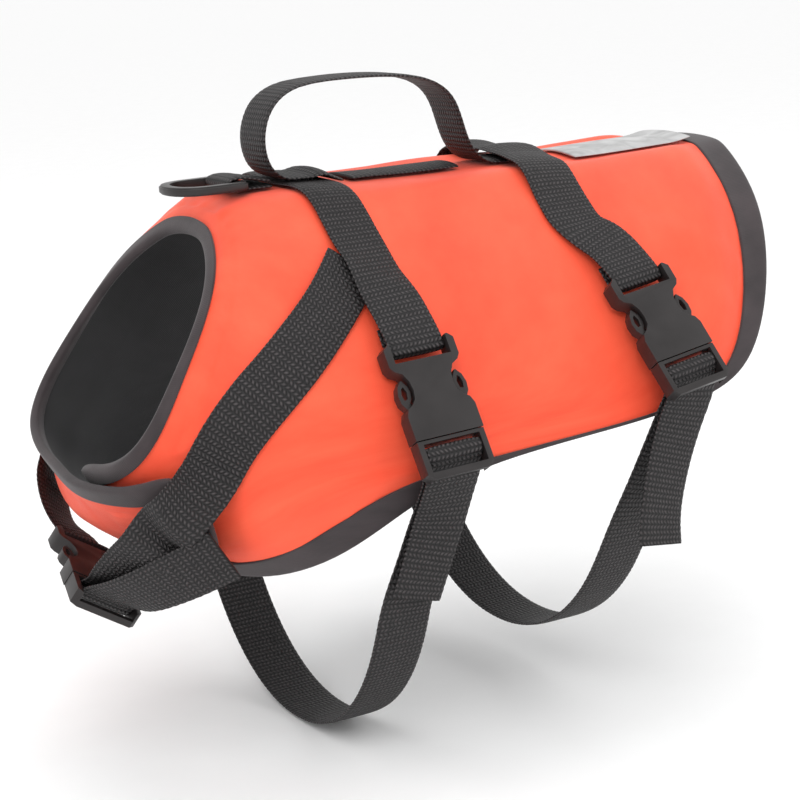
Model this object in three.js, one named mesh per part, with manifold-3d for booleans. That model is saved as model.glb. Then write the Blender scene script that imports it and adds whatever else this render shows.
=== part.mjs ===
// Dog life jacket, in millimetres. +Z is up, the head is at -X, the tail at +X and the dog's
// left side at -Y. The origin is on the inner face of the back, on the spine under the handle.
import * as THREE from 'three';
import { mergeVertices } from 'three/addons/utils/BufferGeometryUtils.js';
import Module from 'manifold-3d';

const wasm = await Module();
wasm.setup();

// Cloth and padding
const SHELL_EDGE = 1.5;        // outer cloth pressed flat along every sewn margin
const FOAM_OUT = 7.5;          // rise of the foam above the margin, outwards
const FOAM_IN = 2.5;           // swell of the foam into the hollow
const MARGIN = 14;             // flat margin between an edge and the foam
const FOAM_RAMP = 13;          // width over which the foam rises
const SPINE_FLAT = 13.5;       // half width of the flat channel along the spine
const SPINE_RAMP = 10;         // width over which the foam rises beside that channel
const FAR_CROWN = 3.5;         // extra fullness of the far panel beside the spine
const CROWN_REACH = 28;
const LINING_WALL = 1.2;
const SEAM_GAP = 0.6;          // clearance between neighbouring cloths
const BINDING_WIDTH = 12;
const BINDING_WALL = 1.2;

// Webbing and fittings
const WEB_WIDTH = 25;
const WEB_WALL = 1.6;
const WEB_SEAT = 0.8;          // clearance between webbing and the cloth under it
const BUCKLE_WIDTH = 33;
const BUCKLE_DEEP = 8;         // thickness of a buckle

// Cross-sections of the hollow from the neck to the rear. top is the ring's point on the spine,
// low its point under the body, and w05 to w86 its half widths at 5, 22, 52 and 86 % of its drop.
const SECTIONS = [
  { topX: -84, topZ: -13, lowX: -153, lowZ: -109, w05: 27, w22: 50, w52: 61, w86: 60 },
  { topX: -75, topZ: -3, lowX: -145.5, lowZ: -122, w05: 31, w22: 57, w52: 68, w86: 62 },
  { topX: -57, topZ: -1, lowX: -129.8, lowZ: -142.2, w05: 29, w22: 58, w52: 78, w86: 73 },
  { topX: -32, topZ: -2, lowX: -107.5, lowZ: -165, w05: 26, w22: 58, w52: 89, w86: 86 },
  { topX: 0, topZ: -2, lowX: -52, lowZ: -182, w05: 26, w22: 60, w52: 98, w86: 93 },
  { topX: 45, topZ: -2, lowX: 15, lowZ: -190, w05: 28, w22: 63, w52: 104, w86: 95 },
  { topX: 95, topZ: -2, lowX: 62, lowZ: -192, w05: 33, w22: 67, w52: 107, w86: 95 },
  { topX: 142, topZ: -2, lowX: 98, lowZ: -182, w05: 40, w22: 71, w52: 106, w86: 92 },
  { topX: 186, topZ: -2, lowX: 124, lowZ: -170, w05: 43, w22: 73, w52: 100, w86: 86 },
];
const DROPS = { w05: 0.05, w22: 0.22, w52: 0.52, w86: 0.86 };
const LAST = SECTIONS.length - 1;
const RING_STEPS = 240;

// Outline in the side view: the rear edge from the spine down, then the hem forward.
const REAR_EDGE = [
  { x: 184, z: -9 },
  { x: 176, z: -31 },
  { x: 163, z: -55 },
  { x: 154, z: -78 },
  { x: 147, z: -90 },
];
const SIDE_HEM = [
  { x: 147, z: -90 },
  { x: 134, z: -97 },
  { x: 109, z: -103 },
  { x: 76, z: -107 },
  { x: 33, z: -110 },
  { x: -5, z: -112 },
  { x: -24, z: -115 },
  { x: -41, z: -122 },
  { x: -62, z: -141 },
  { x: -82, z: -156 },
  { x: -104, z: -159 },
];

// Free ends of the two chest flaps: s counts cross-sections from the neck, t is the share of the
// ring from the spine. The far flap (+t) runs past the middle, over the near one.
const NEAR_FLAP_HEM = [{ s: 2.3, t: -0.43 }, { s: 1.95, t: -0.45 }];
const NEAR_FLAP_END = [{ s: 1.95, t: -0.45 }, { s: 1, t: -0.455 }, { s: 0, t: -0.45 }];
const FAR_FLAP_HEM = [
  { s: 2.62, t: 0.46 },
  { s: 2.6, t: 0.52 },
  { s: 2.7, t: 0.58 },
  { s: 2.73, t: 0.61 },
  { s: 2.62, t: 0.632 },
];
const FAR_FLAP_END = [
  { s: 2.62, t: 0.632 },
  { s: 2.3, t: 0.65 },
  { s: 1.7, t: 0.664 },
  { s: 1.25, t: 0.662 },
];
const FAR_NECK = [
  { s: 0, t: 0 },
  { s: 0, t: 0.15 },
  { s: 0, t: 0.3 },
  { s: 0, t: 0.45 },
  { s: 0.14, t: 0.54 },
  { s: 0.58, t: 0.61 },
  { s: 0.95, t: 0.645 },
  { s: 1.25, t: 0.662 },
];
const NEAR_NECK = [{ s: 0, t: 0 }, { s: 0, t: -0.2 }, { s: 0, t: -0.45 }];
const FLAP_LIFT = 3.9;         // how far the flaps part where they overlap

const COLOURS = {
  shell: 0xf4583a,
  lining: 0x1c191d,
  binding: 0x3b3133,
  webbing: 0x2b2728,
  plastic: 0x2e2a2a,
  patch: 0xb4b4b4,
};

const v3 = (x, y, z) => new THREE.Vector3(x, y, z);
const clamp01 = (x) => Math.min(1, Math.max(0, x));
const smooth = (x) => clamp01(x) ** 2 * (3 - 2 * clamp01(x));


function sampleRing(row) {
  const drop = (g, y) => v3(
    row.topX + (row.lowX - row.topX) * g,
    y,
    row.topZ + (row.lowZ - row.topZ) * g,
  );
  const far = Object.entries(DROPS).map(([name, g]) => drop(g, row[name]));
  const near = [...far].reverse().map((p) => v3(p.x, -p.y, p.z));
  const curve = new THREE.CatmullRomCurve3([drop(0, 0), ...far, drop(1, 0), ...near], true);
  curve.arcLengthDivisions = 800;
  return curve.getSpacedPoints(RING_STEPS).slice(0, RING_STEPS);
}
const RINGS = SECTIONS.map(sampleRing);

function ringPoint(index, t) {
  const place = (((t % 1) + 1) % 1) * RING_STEPS;
  const low = Math.floor(place) % RING_STEPS;
  const high = (low + 1) % RING_STEPS;
  return RINGS[index].at(low).clone().lerp(RINGS[index][high], place - Math.floor(place));
}

function bodyPoint(s, t) {
  const at = Math.min(LAST - 1e-9, Math.max(0, s));
  const i = Math.floor(at);
  const f = s - i;
  const p1 = ringPoint(i, t);
  const p2 = ringPoint(i + 1, t);
  const p0 = i > 0 ? ringPoint(i - 1, t) : p1.clone().multiplyScalar(2).sub(p2);
  const p3 = i + 2 <= LAST ? ringPoint(i + 2, t) : p2.clone().multiplyScalar(2).sub(p1);
  const weight = [
    -0.5 * f + f * f - 0.5 * f ** 3,
    1 - 2.5 * f * f + 1.5 * f ** 3,
    0.5 * f + 2 * f * f - 1.5 * f ** 3,
    -0.5 * f * f + 0.5 * f ** 3,
  ];
  return [p0, p1, p2, p3].reduce((sum, p, k) => sum.addScaledVector(p, weight[k]), v3(0, 0, 0));
}

function bodyTangents(s, t) {
  const ds = 0.02;
  const dt = 0.006;
  return {
    along: bodyPoint(s + ds, t).sub(bodyPoint(s - ds, t)).divideScalar(2 * ds),
    around: bodyPoint(s, t + dt).sub(bodyPoint(s, t - dt)).divideScalar(2 * dt),
  };
}

function bodyNormal(s, t) {
  const { along, around } = bodyTangents(s, t);
  return along.cross(around).normalize();
}

// Point of the hollow that shows at x, z in the side view, on the side of the given sign.
function onSide(x, z, sign) {
  let s = 4;
  let t = 0.25 * sign;
  for (let turn = 0; turn < 60; turn += 1) {
    const p = bodyPoint(s, t);
    const { along, around } = bodyTangents(s, t);
    const det = along.x * around.z - around.x * along.z;
    const dx = x - p.x;
    const dz = z - p.z;
    s += 0.6 * (dx * around.z - around.x * dz) / det;
    t += 0.6 * (along.x * dz - dx * along.z) / det;
    s = Math.min(LAST + 0.3, Math.max(-0.3, s));
    t = sign * Math.min(0.495, Math.max(0.004, t * sign));
  }
  return { s, t };
}


// Smooth line through outline points, in steps of equal length on the cloth.
const CELL = { s: 33, t: 400 };
function outline(points) {
  const curve = new THREE.CatmullRomCurve3(points.map((p) => v3(p.s * CELL.s, p.t * CELL.t, 0)));
  return (share) => {
    const p = curve.getPointAt(clamp01(share));
    return { s: p.x / CELL.s, t: p.y / CELL.t };
  };
}

const mix = (terms) => terms.reduce(
  (sum, [k, p]) => ({ s: sum.s + k * p.s, t: sum.t + k * p.t }),
  { s: 0, t: 0 },
);

// One half of the garment: neck edge and rear-and-hem edge joined by columns, from the spine
// (b = 0) to the free end of the chest flap (b = 1).
function halfPatch(sign) {
  const neckLine = outline(sign > 0 ? FAR_NECK : NEAR_NECK);
  const endLine = outline(sign > 0 ? [...FAR_FLAP_END].reverse() : [...NEAR_FLAP_END].reverse());
  const chestHem = sign > 0 ? FAR_FLAP_HEM : NEAR_FLAP_HEM;
  const side = [...REAR_EDGE, ...SIDE_HEM.slice(1)].map((p) => onSide(p.x, p.z, sign));
  const hemLine = outline([{ s: LAST, t: 0 }, { s: LAST, t: 0.045 * sign }, ...side, ...chestHem]);
  const spineLine = (a) => ({ s: LAST * a, t: 0 });
  const at = (a, b) => mix([
    [1 - b, spineLine(a)],
    [b, endLine(a)],
    [1 - a, neckLine(b)],
    [a, hemLine(b)],
    [-(1 - a) * (1 - b), spineLine(0)],
    [-a * (1 - b), spineLine(1)],
    [-(1 - a) * b, endLine(0)],
    [-a * b, endLine(1)],
  ]);
  const edge = [];
  for (let k = 0; k <= 90; k += 1) {
    edge.push(neckLine(k / 90), hemLine(k / 90), endLine(k / 90));
  }
  const rim = edge.map((q) => bodyPoint(q.s, q.t));
  return { sign, at, rim };
}
const HALVES = { near: halfPatch(-1), far: halfPatch(1) };
const halfOf = (t) => (t < 0 ? HALVES.near : HALVES.far);

function ringLength(s) {
  const i = Math.round(Math.min(LAST, Math.max(0, s)));
  return RINGS[i][0].distanceTo(RINGS[i][1]) * RING_STEPS;
}

// Shape of the padding at a point of the cloth: lift of the whole cloth where the flaps overlap,
// and the outer and inner rise of the foam.
const SPINE_FLAT_REAR = 22;
function padding(s, t) {
  const here = bodyPoint(s, t);
  const turn = Math.abs(t);
  let toEdge = Infinity;
  for (const p of halfOf(t).rim) toEdge = Math.min(toEdge, p.distanceTo(here));
  const channel = SPINE_FLAT + (SPINE_FLAT_REAR - SPINE_FLAT) * smooth((s - 5.6) / 0.8);
  const toSpine = turn * ringLength(s) - channel;
  const flap = t < 0 ? 1 - smooth((turn - 0.26) / 0.06) : 1 - smooth((turn - 0.47) / 0.06);
  const rise = smooth((toEdge - MARGIN) / FOAM_RAMP) * smooth(toSpine / SPINE_RAMP) * flap;
  const crown = t < 0 ? 0 : FAR_CROWN * rise * (1 - smooth((toSpine - SPINE_RAMP) / CROWN_REACH));
  const lift = t < 0
    ? -FLAP_LIFT * smooth((turn - 0.27) / 0.07)
    : FLAP_LIFT * smooth((turn - 0.48) / 0.07);
  return { lift, rise, crown };
}

// Heights of the cloth's faces over the middle of its margin.
const HALF_GAP = SEAM_GAP / 2;
const FACES = {
  shellOut: (pad) => pad.lift + HALF_GAP + SHELL_EDGE + FOAM_OUT * pad.rise + pad.crown,
  shellIn: (pad) => pad.lift + HALF_GAP - FOAM_IN * pad.rise,
  liningOut: (pad) => pad.lift - HALF_GAP - FOAM_IN * pad.rise,
  liningIn: (pad) => pad.lift - HALF_GAP - LINING_WALL - FOAM_IN * pad.rise,
};

// Distances of the grid lines from an edge, in mm, and the number of lines between.
const EDGE_LINES = [0, BINDING_WIDTH, 19, 27];
const SPINE_LINES = [0, SPINE_FLAT, 20, 27];
const ROWS_BETWEEN = 6;
const COLUMNS_BETWEEN = { near: 9, far: 11 };

function lineShares(first, last, between, length) {
  const room = Math.min(1, (length - 2 * BINDING_WIDTH) / 95);
  const pull = (d) => (d <= BINDING_WIDTH + 2 ? d : BINDING_WIDTH + (d - BINDING_WIDTH) * room);
  const head = first.map(pull);
  const tail = last.map((d) => length - pull(d)).reverse();
  const from = head.at(-1);
  const to = tail[0];
  const middle = Array.from({ length: between }, (_, k) => from + (to - from) * (k + 1) / (between + 1));
  return [...head, ...middle, ...tail].map((d) => d / length);
}

function lineLength(pointAt) {
  let length = 0;
  let last = pointAt(0);
  for (let k = 1; k <= 40; k += 1) {
    const next = pointAt(k / 40);
    length += next.distanceTo(last);
    last = next;
  }
  return length;
}

// Grid of cloth nodes over one half: rows from the neck edge to the rear and hem edge.
function halfGrid(name) {
  const { at } = HALVES[name];
  const point = (a, b) => {
    const q = at(a, b);
    return bodyPoint(q.s, q.t);
  };
  const rowCount = 2 * EDGE_LINES.length + ROWS_BETWEEN;
  const columnCount = SPINE_LINES.length + EDGE_LINES.length + COLUMNS_BETWEEN[name];
  const spots = Array.from({ length: rowCount }, (_, i) => Array.from(
    { length: columnCount },
    (__, j) => ({ a: i / (rowCount - 1), b: j / (columnCount - 1) }),
  ));
  for (let turn = 0; turn < 3; turn += 1) {
    const columns = spots.map((row) => row.map((spot) => {
      const length = lineLength((k) => point(spot.a, k));
      return lineShares(SPINE_LINES, EDGE_LINES, COLUMNS_BETWEEN[name], length);
    }));
    const rows = spots.map((row) => row.map((spot) => {
      const length = lineLength((k) => point(k, spot.b));
      return lineShares(EDGE_LINES, EDGE_LINES, ROWS_BETWEEN, length);
    }));
    spots.forEach((row, i) => row.forEach((spot, j) => {
      spot.b = columns[i][j][j];
      spot.a = rows[i][j][i];
    }));
  }
  return spots.map((row) => row.map((spot) => {
    const q = at(spot.a, spot.b);
    const safe = Math.abs(q.t) < 1e-6 ? 0 : q.t;
    return { s: q.s, t: safe, base: bodyPoint(q.s, safe), normal: bodyNormal(q.s, safe), pad: padding(q.s, safe) };
  }));
}
const FAR_GRID = halfGrid('far');
const NEAR_GRID = halfGrid('near');
// Whole cloth: each row runs from the near flap over the spine to the far flap.
const CLOTH = NEAR_GRID.map((row, i) => [...row.slice(1).reverse(), ...FAR_GRID[i]]);
const facePoint = (node, face) => node.base.clone().addScaledVector(node.normal, FACES[face](node.pad));

class SolidBuilder {
  constructor() {
    this.points = [];
    this.faces = [];
  }

  add(point) {
    this.points.push(point);
    return this.points.length - 1;
  }

  quad(a, b, c, d) {
    this.faces.push([a, b, c], [a, c, d]);
  }

  geometry() {
    const spots = new Map();
    const index = this.points.map((p) => {
      const key = [p.x, p.y, p.z].map((x) => Math.round(x * 2000)).join();
      if (!spots.has(key)) spots.set(key, spots.size);
      return spots.get(key);
    });
    const flat = new Float32Array(spots.size * 3);
    this.points.forEach((p, k) => flat.set([p.x, p.y, p.z], index[k] * 3));
    const kept = this.faces.map((f) => f.map((k) => index[k]))
      .filter(([a, b, c]) => a !== b && b !== c && a !== c);
    const spot = (k) => v3(flat[3 * k], flat[3 * k + 1], flat[3 * k + 2]);
    const volume = kept.reduce((sum, [a, b, c]) => sum + spot(a).dot(spot(b).cross(spot(c))), 0);
    if (volume < 0) kept.forEach((f) => f.reverse());
    const geometry = new THREE.BufferGeometry();
    geometry.setAttribute('position', new THREE.BufferAttribute(flat, 3));
    geometry.setIndex(kept.flat());
    geometry.computeVertexNormals();
    return geometry;
  }
}

// Closed cloth between two faces of the same grid.
function clothSolid(outer, inner) {
  const builder = new SolidBuilder();
  const top = outer.map((row) => row.map((p) => builder.add(p)));
  const under = inner.map((row) => row.map((p) => builder.add(p)));
  const rows = outer.length - 1;
  const columns = outer[0].length - 1;
  for (let i = 0; i < rows; i += 1) {
    for (let j = 0; j < columns; j += 1) {
      const above = [top[i][j], top[i + 1][j], top[i + 1][j + 1], top[i][j + 1]];
      const below = [under[i][j], under[i + 1][j], under[i + 1][j + 1], under[i][j + 1]];
      const cornerCell = (i === 0 && j === columns - 1) || (i === rows - 1 && j === 0);
      if (cornerCell) {
        above.push(above.shift());
        below.push(below.shift());
      }
      builder.quad(...above);
      builder.quad(below[0], below[3], below[2], below[1]);
    }
  }
  for (let j = 0; j < columns; j += 1) {
    builder.quad(top[0][j], top[0][j + 1], under[0][j + 1], under[0][j]);
    builder.quad(top[rows][j + 1], top[rows][j], under[rows][j], under[rows][j + 1]);
  }
  for (let i = 0; i < rows; i += 1) {
    builder.quad(top[i + 1][0], top[i][0], under[i][0], under[i + 1][0]);
    builder.quad(top[i][columns], top[i + 1][columns], under[i + 1][columns], under[i][columns]);
  }
  return builder.geometry();
}

// Closed solid through sections with the same number of points, open-ended or a loop. turned(i, k)
// tells where the face after point k of section i is split along its other diagonal.
function sweptSolid(sections, loop, capCells, turned = () => false) {
  const builder = new SolidBuilder();
  const rings = sections.map((section) => section.map((p) => builder.add(p)));
  const size = rings[0].length;
  const steps = loop ? rings.length : rings.length - 1;
  for (let i = 0; i < steps; i += 1) {
    const here = rings[i];
    const next = rings[(i + 1) % rings.length];
    for (let k = 0; k < size; k += 1) {
      const m = (k + 1) % size;
      if (turned(i, k)) builder.quad(here[m], next[m], next[k], here[k]);
      else builder.quad(here[k], here[m], next[m], next[k]);
    }
  }
  if (!loop) {
    const last = rings.at(-1);
    for (const [a, b, c, d] of capCells) {
      builder.quad(rings[0][d], rings[0][c], rings[0][b], rings[0][a]);
      builder.quad(last[a], last[b], last[c], last[d]);
    }
  }
  return builder.geometry();
}

const shellGeometry = clothSolid(
  CLOTH.map((row) => row.map((node) => facePoint(node, 'shellOut'))),
  CLOTH.map((row) => row.map((node) => facePoint(node, 'shellIn'))),
);
const liningGeometry = clothSolid(
  CLOTH.map((row) => row.map((node) => facePoint(node, 'liningOut'))),
  CLOTH.map((row) => row.map((node) => facePoint(node, 'liningIn'))),
);

// Bias binding folded over every edge, in one closed run round the cloth.
const BINDING_TO_EDGE = [0, 6];
const BINDING_TO_INSIDE = [4, 8];
function bindingGeometry() {
  const rows = CLOTH.length - 1;
  const columns = CLOTH[0].length - 1;
  const stations = [];
  const place = (alongRow, i, j, m, n) => stations.push({ alongRow, edge: CLOTH[i][j], inside: CLOTH[m][n] });
  const within = (k, count) => Math.min(count - 1, Math.max(1, k));
  for (let j = 0; j < columns; j += 1) place(true, 0, j, 1, within(j, columns));
  for (let i = 0; i < rows; i += 1) place(false, i, columns, within(i, rows), columns - 1);
  for (let j = columns; j > 0; j -= 1) place(true, rows, j, rows - 1, within(j, columns));
  for (let i = rows; i > 0; i -= 1) place(false, i, 0, within(i, rows), 1);
  const nose = SEAM_GAP + BINDING_WALL;
  const sections = stations.map(({ edge, inside }) => {
    const away = edge.base.clone().sub(inside.base).normalize();
    const over = (node, reach, gap) => node.base.clone()
      .addScaledVector(away, reach)
      .addScaledVector(node.normal, FACES.shellOut(node.pad) + gap);
    const under = (node, reach, gap) => node.base.clone()
      .addScaledVector(away, reach)
      .addScaledVector(node.normal, FACES.liningIn(node.pad) - gap);
    return [
      over(inside, 0, nose),
      over(edge, 0, nose),
      over(edge, nose, -0.4),
      under(edge, nose, -0.4),
      under(edge, 0, nose),
      under(inside, 0, nose),
      under(inside, 0, SEAM_GAP),
      under(edge, SEAM_GAP, SEAM_GAP),
      over(edge, SEAM_GAP, SEAM_GAP),
      over(inside, 0, SEAM_GAP),
    ];
  });
  const turned = (i, k) => (stations[i].alongRow ? BINDING_TO_EDGE : BINDING_TO_INSIDE).includes(k);
  return sweptSolid(sections, true, [], turned);
}

const part = new THREE.Group();
const ORIGIN_LIFT = 2 + HALF_GAP + LINING_WALL;
const body = new THREE.Group();
body.position.z = ORIGIN_LIFT;
part.add(body);

const laid = [];
function addNode(name, geometry, colour, roughness) {
  const material = new THREE.MeshStandardMaterial({
    color: colour,
    roughness,
    metalness: 0,
    side: THREE.DoubleSide,
  });
  const mesh = new THREE.Mesh(geometry, material);
  mesh.name = name;
  body.add(mesh);
  laid.push(new THREE.Mesh(geometry, material));
  return mesh;
}
addNode('outer_shell', shellGeometry, COLOURS.shell, 0.6);
addNode('lining', liningGeometry, COLOURS.lining, 0.8);
addNode('edge_binding', bindingGeometry(), COLOURS.binding, 0.7);

// Height of what lies already in place over a point, along its normal, or null where nothing is.
const REACH = 24;
const caster = new THREE.Raycaster();
function heightOver(point, normal) {
  const start = point.clone().addScaledVector(normal, REACH);
  caster.set(start, normal.clone().negate());
  caster.far = 2 * REACH;
  const hit = caster.intersectObjects(laid, false)[0];
  return hit ? REACH - hit.distance : null;
}

const BESIDE_CLOTH = HALF_GAP + SHELL_EDGE + SEAM_GAP + BINDING_WALL;   // height past an edge

// Seat of one strap column: the underside's point and normal, s and t on the cloth plus an offset
// of mm across the strap.
function seatOnCloth(s, t, across, offset) {
  const { along, around } = bodyTangents(s, t);
  const step = across.clone().multiplyScalar(offset);
  const aa = along.dot(along);
  const ar = along.dot(around);
  const rr = around.dot(around);
  const ka = step.dot(along);
  const kr = step.dot(around);
  const det = aa * rr - ar * ar;
  const s1 = s + (ka * rr - kr * ar) / det;
  const t1 = t + (kr * aa - ka * ar) / det;
  const normal = bodyNormal(s1, t1);
  const point = bodyPoint(s1, t1);
  const height = heightOver(point, normal) ?? BESIDE_CLOTH;
  return { point: point.addScaledVector(normal, height + WEB_SEAT), normal };
}

// A strap as stations of three columns across its width, each with a seat point and a normal.
const COLUMNS = [-0.5, 0, 0.5];
function clothStation(spot, across, width) {
  return COLUMNS.map((k) => seatOnCloth(spot.s, spot.t, across, k * width));
}
function freeStation(centre, across, normal, width) {
  return COLUMNS.map((k) => ({ point: centre.clone().addScaledVector(across, k * width), normal: normal.clone() }));
}

// Raises a strap's seats until the cloth under it is clear between the seats too.
const SEAT_REACH = 6;
const CELL_SHARES = [0, 0.2, 0.4, 0.6, 0.8, 1];
function clearSeats(stations) {
  for (let i = 0; i + 1 < stations.length; i += 1) {
    for (let m = 0; m + 1 < COLUMNS.length; m += 1) {
      const corners = [stations[i][m], stations[i][m + 1], stations[i + 1][m], stations[i + 1][m + 1]];
      for (const f of CELL_SHARES) {
        for (const g of CELL_SHARES) {
          const weights = [(1 - f) * (1 - g), (1 - f) * g, f * (1 - g), f * g];
          const point = v3(0, 0, 0);
          const normal = v3(0, 0, 0);
          corners.forEach((c, k) => {
            point.addScaledVector(c.point, weights[k]);
            normal.addScaledVector(c.normal, weights[k]);
          });
          const height = heightOver(point, normal.normalize());
          const lack = height === null ? 0 : height + 0.7 * WEB_SEAT;
          if (lack > 0 && height < SEAT_REACH) corners.forEach((c) => c.point.addScaledVector(c.normal, lack));
        }
      }
    }
  }
  return stations;
}

const STRIP_CAPS = [[0, 1, 4, 5], [1, 2, 3, 4]];
function strapSolid(stations, wall = WEB_WALL) {
  const sections = stations.map((seats) => {
    const top = seats.map((seat) => seat.point.clone().addScaledVector(seat.normal, wall));
    return [...seats.map((seat) => seat.point), ...top.reverse()];
  });
  return sweptSolid(sections, false, STRIP_CAPS);
}

// Spot on the cloth at a share t of the ring where the side view's x is met.
function spotAtX(t, x) {
  let low = -0.2;
  let high = LAST + 0.2;
  for (let k = 0; k < 40; k += 1) {
    const middle = (low + high) / 2;
    if (bodyPoint(middle, t).x < x) low = middle;
    else high = middle;
  }
  return { s: (low + high) / 2, t };
}

// Value of a table's column at a place, read between its rows.
function tableAt(rows, key, place, column) {
  let k = 0;
  while (k + 2 < rows.length && rows[k + 1][key] < place) k += 1;
  const share = clamp01((place - rows[k][key]) / (rows[k + 1][key] - rows[k][key]));
  return rows[k][column] + (rows[k + 1][column] - rows[k][column]) * share;
}

// Side-release buckles, drawn with u along the strap towards the socket's bar, w across and
// n out from the cloth; the origin is the middle of the closed buckle.
function prism(outlinePoints, low, high) {
  const shape = new THREE.Shape(outlinePoints.map(([w, u]) => new THREE.Vector2(w, u)));
  const solid = new THREE.ExtrudeGeometry(shape, { depth: high - low, bevelEnabled: false, steps: 1 });
  solid.translate(0, 0, low);
  return toManifold(solid);
}
function slab(w0, w1, u0, u1, n0, n1) {
  return prism([[w0, u0], [w1, u0], [w1, u1], [w0, u1]], n0, n1);
}
function toManifold(geometry) {
  const bare = geometry.clone();
  bare.deleteAttribute('normal');
  bare.deleteAttribute('uv');
  const merged = mergeVertices(bare, 1e-4);
  return new wasm.Manifold(new wasm.Mesh({
    numProp: 3,
    vertProperties: new Float32Array(merged.attributes.position.array),
    triVerts: new Uint32Array(merged.index.array),
  }));
}
function toGeometry(manifold) {
  const mesh = manifold.getMesh();
  const geometry = new THREE.BufferGeometry();
  geometry.setAttribute('position', new THREE.BufferAttribute(new Float32Array(mesh.vertProperties), 3));
  geometry.setIndex([...mesh.triVerts]);
  geometry.computeVertexNormals();
  return geometry;
}
const mirrored = (half) => [...half, ...half.map(([w, u]) => [-w, u]).reverse()];

const HALF_DEEP = BUCKLE_DEEP / 2;
const BUCKLE = {
  top: 29,          // outer end of the socket's bar
  mouth: -13,       // where the plug's frame meets the socket
  end: -30,         // outer end of the plug's frame
  slotHalf: 13.2,   // half width of the webbing's slots
  barLow: 25.6,
  slotLow: 20.6,
};
const HALF_WIDE = BUCKLE_WIDTH / 2;
const SOCKET_HALF = [
  [14.2, 29], [HALF_WIDE, 27], [HALF_WIDE, 19.5], [15, 17.3], [11.8, 15.6], [9.9, 12], [9.4, 8], [10, 4.6],
  [12, 2.2], [14.6, 0.6], [HALF_WIDE - 0.6, -2.5], [HALF_WIDE - 0.6, BUCKLE.mouth],
];
const PRONG = [
  [11.4, BUCKLE.mouth - 2], [13.8, BUCKLE.mouth - 2], [13.8, 0.7], [15.8, 3.8], [16.2, 7.4], [15.2, 11], [13, 13.6],
  [12.5, 13.2], [10.7, 10.6], [10.2, 8], [10.8, 5.2], [12, 3.4], [11.4, 1.6],
];
const PRONG_EYE = [[12.4, 5.4], [14, 5], [14.5, 7.5], [13.9, 10], [12.8, 10.8], [11.9, 8.4]];

function socketSolid() {
  const body3 = prism(mirrored(SOCKET_HALF).reverse(), -HALF_DEEP, HALF_DEEP);
  const { slotHalf, top, barLow, slotLow, mouth } = BUCKLE;
  const cuts = [
    slab(-slotHalf, slotHalf, slotLow, barLow, -HALF_DEEP - 1, HALF_DEEP + 1),
    slab(-slotHalf, slotHalf, barLow - 1, top + 1, 0.2, HALF_DEEP + 1),
    slab(-slotHalf, slotHalf, barLow - 1, top + 1, -HALF_DEEP - 1, -1.8),
    slab(10.9, 14.3, mouth - 1, 3.2, -2.7, 2.7),
    slab(-14.3, -10.9, mouth - 1, 3.2, -2.7, 2.7),
  ];
  return cuts.reduce((solid, cut) => solid.subtract(cut), body3);
}

function plugSolid() {
  const wide = HALF_WIDE - 0.8;
  const { slotHalf, mouth, end } = BUCKLE;
  const top = mouth - 0.4;
  let solid = prism(mirrored([[wide - 2.5, end], [wide, end + 2.5], [wide, top]]), -HALF_DEEP + 0.4, HALF_DEEP - 0.4);
  solid = solid.subtract(slab(-slotHalf, slotHalf, end + 3, top - 1.5, -9, 9));
  solid = solid.subtract(slab(-slotHalf, slotHalf, end - 1, end + 3.2, -9, 0.6));
  solid = solid.add(slab(-slotHalf - 1, slotHalf + 1, end + 9, end + 12, -1.2, 1.8));
  for (const side of [1, -1]) {
    const flip = (points) => (side > 0 ? points : points.map(([w, u]) => [-w, u]).reverse());
    solid = solid.add(prism(flip(PRONG), -2.3, 2.3));
    solid = solid.subtract(prism(flip(PRONG_EYE), -5, 5));
  }
  return solid;
}
const socketGeometry = toGeometry(socketSolid());
const plugGeometry = toGeometry(plugSolid());

// Frame of a buckle. One that rests on the cloth is pushed out along n until its back is clear.
function buckleFrame(anchor, up, out, rests = true) {
  const n = out.clone().normalize();
  const u = up.clone().addScaledVector(n, -up.dot(n)).normalize();
  const w = u.clone().cross(n).normalize();
  const place = (pw, pu, pn, at) => at.clone().addScaledVector(w, pw).addScaledVector(u, pu).addScaledVector(n, pn);
  let push = -Infinity;
  for (const pw of [-16, -8, 0, 8, 16]) {
    for (const pu of [-30, -20, -10, 0, 10, 20, 29]) {
      const height = heightOver(place(pw, pu, 0, anchor), n);
      if (height !== null) push = Math.max(push, height);
    }
  }
  const lift = rests ? Math.max(0, push) + HALF_DEEP + 1 : 0;
  const centre = anchor.clone().addScaledVector(n, lift);
  return { u, w, n, centre, at: (pw, pu, pn) => place(pw, pu, pn, centre) };
}
function addBuckle(name, frame) {
  const matrix = new THREE.Matrix4().makeBasis(frame.w, frame.u, frame.n).setPosition(frame.centre);
  for (const [piece, geometry] of [['socket', socketGeometry], ['plug', plugGeometry]]) {
    const mesh = addNode(`${name}_${piece}`, geometry, COLOURS.plastic, 0.4);
    matrix.decompose(mesh.position, mesh.quaternion, mesh.scale);
    laid.pop();
    laid.push(new THREE.Mesh(geometry.clone().applyMatrix4(matrix), mesh.material));
  }
}

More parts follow.
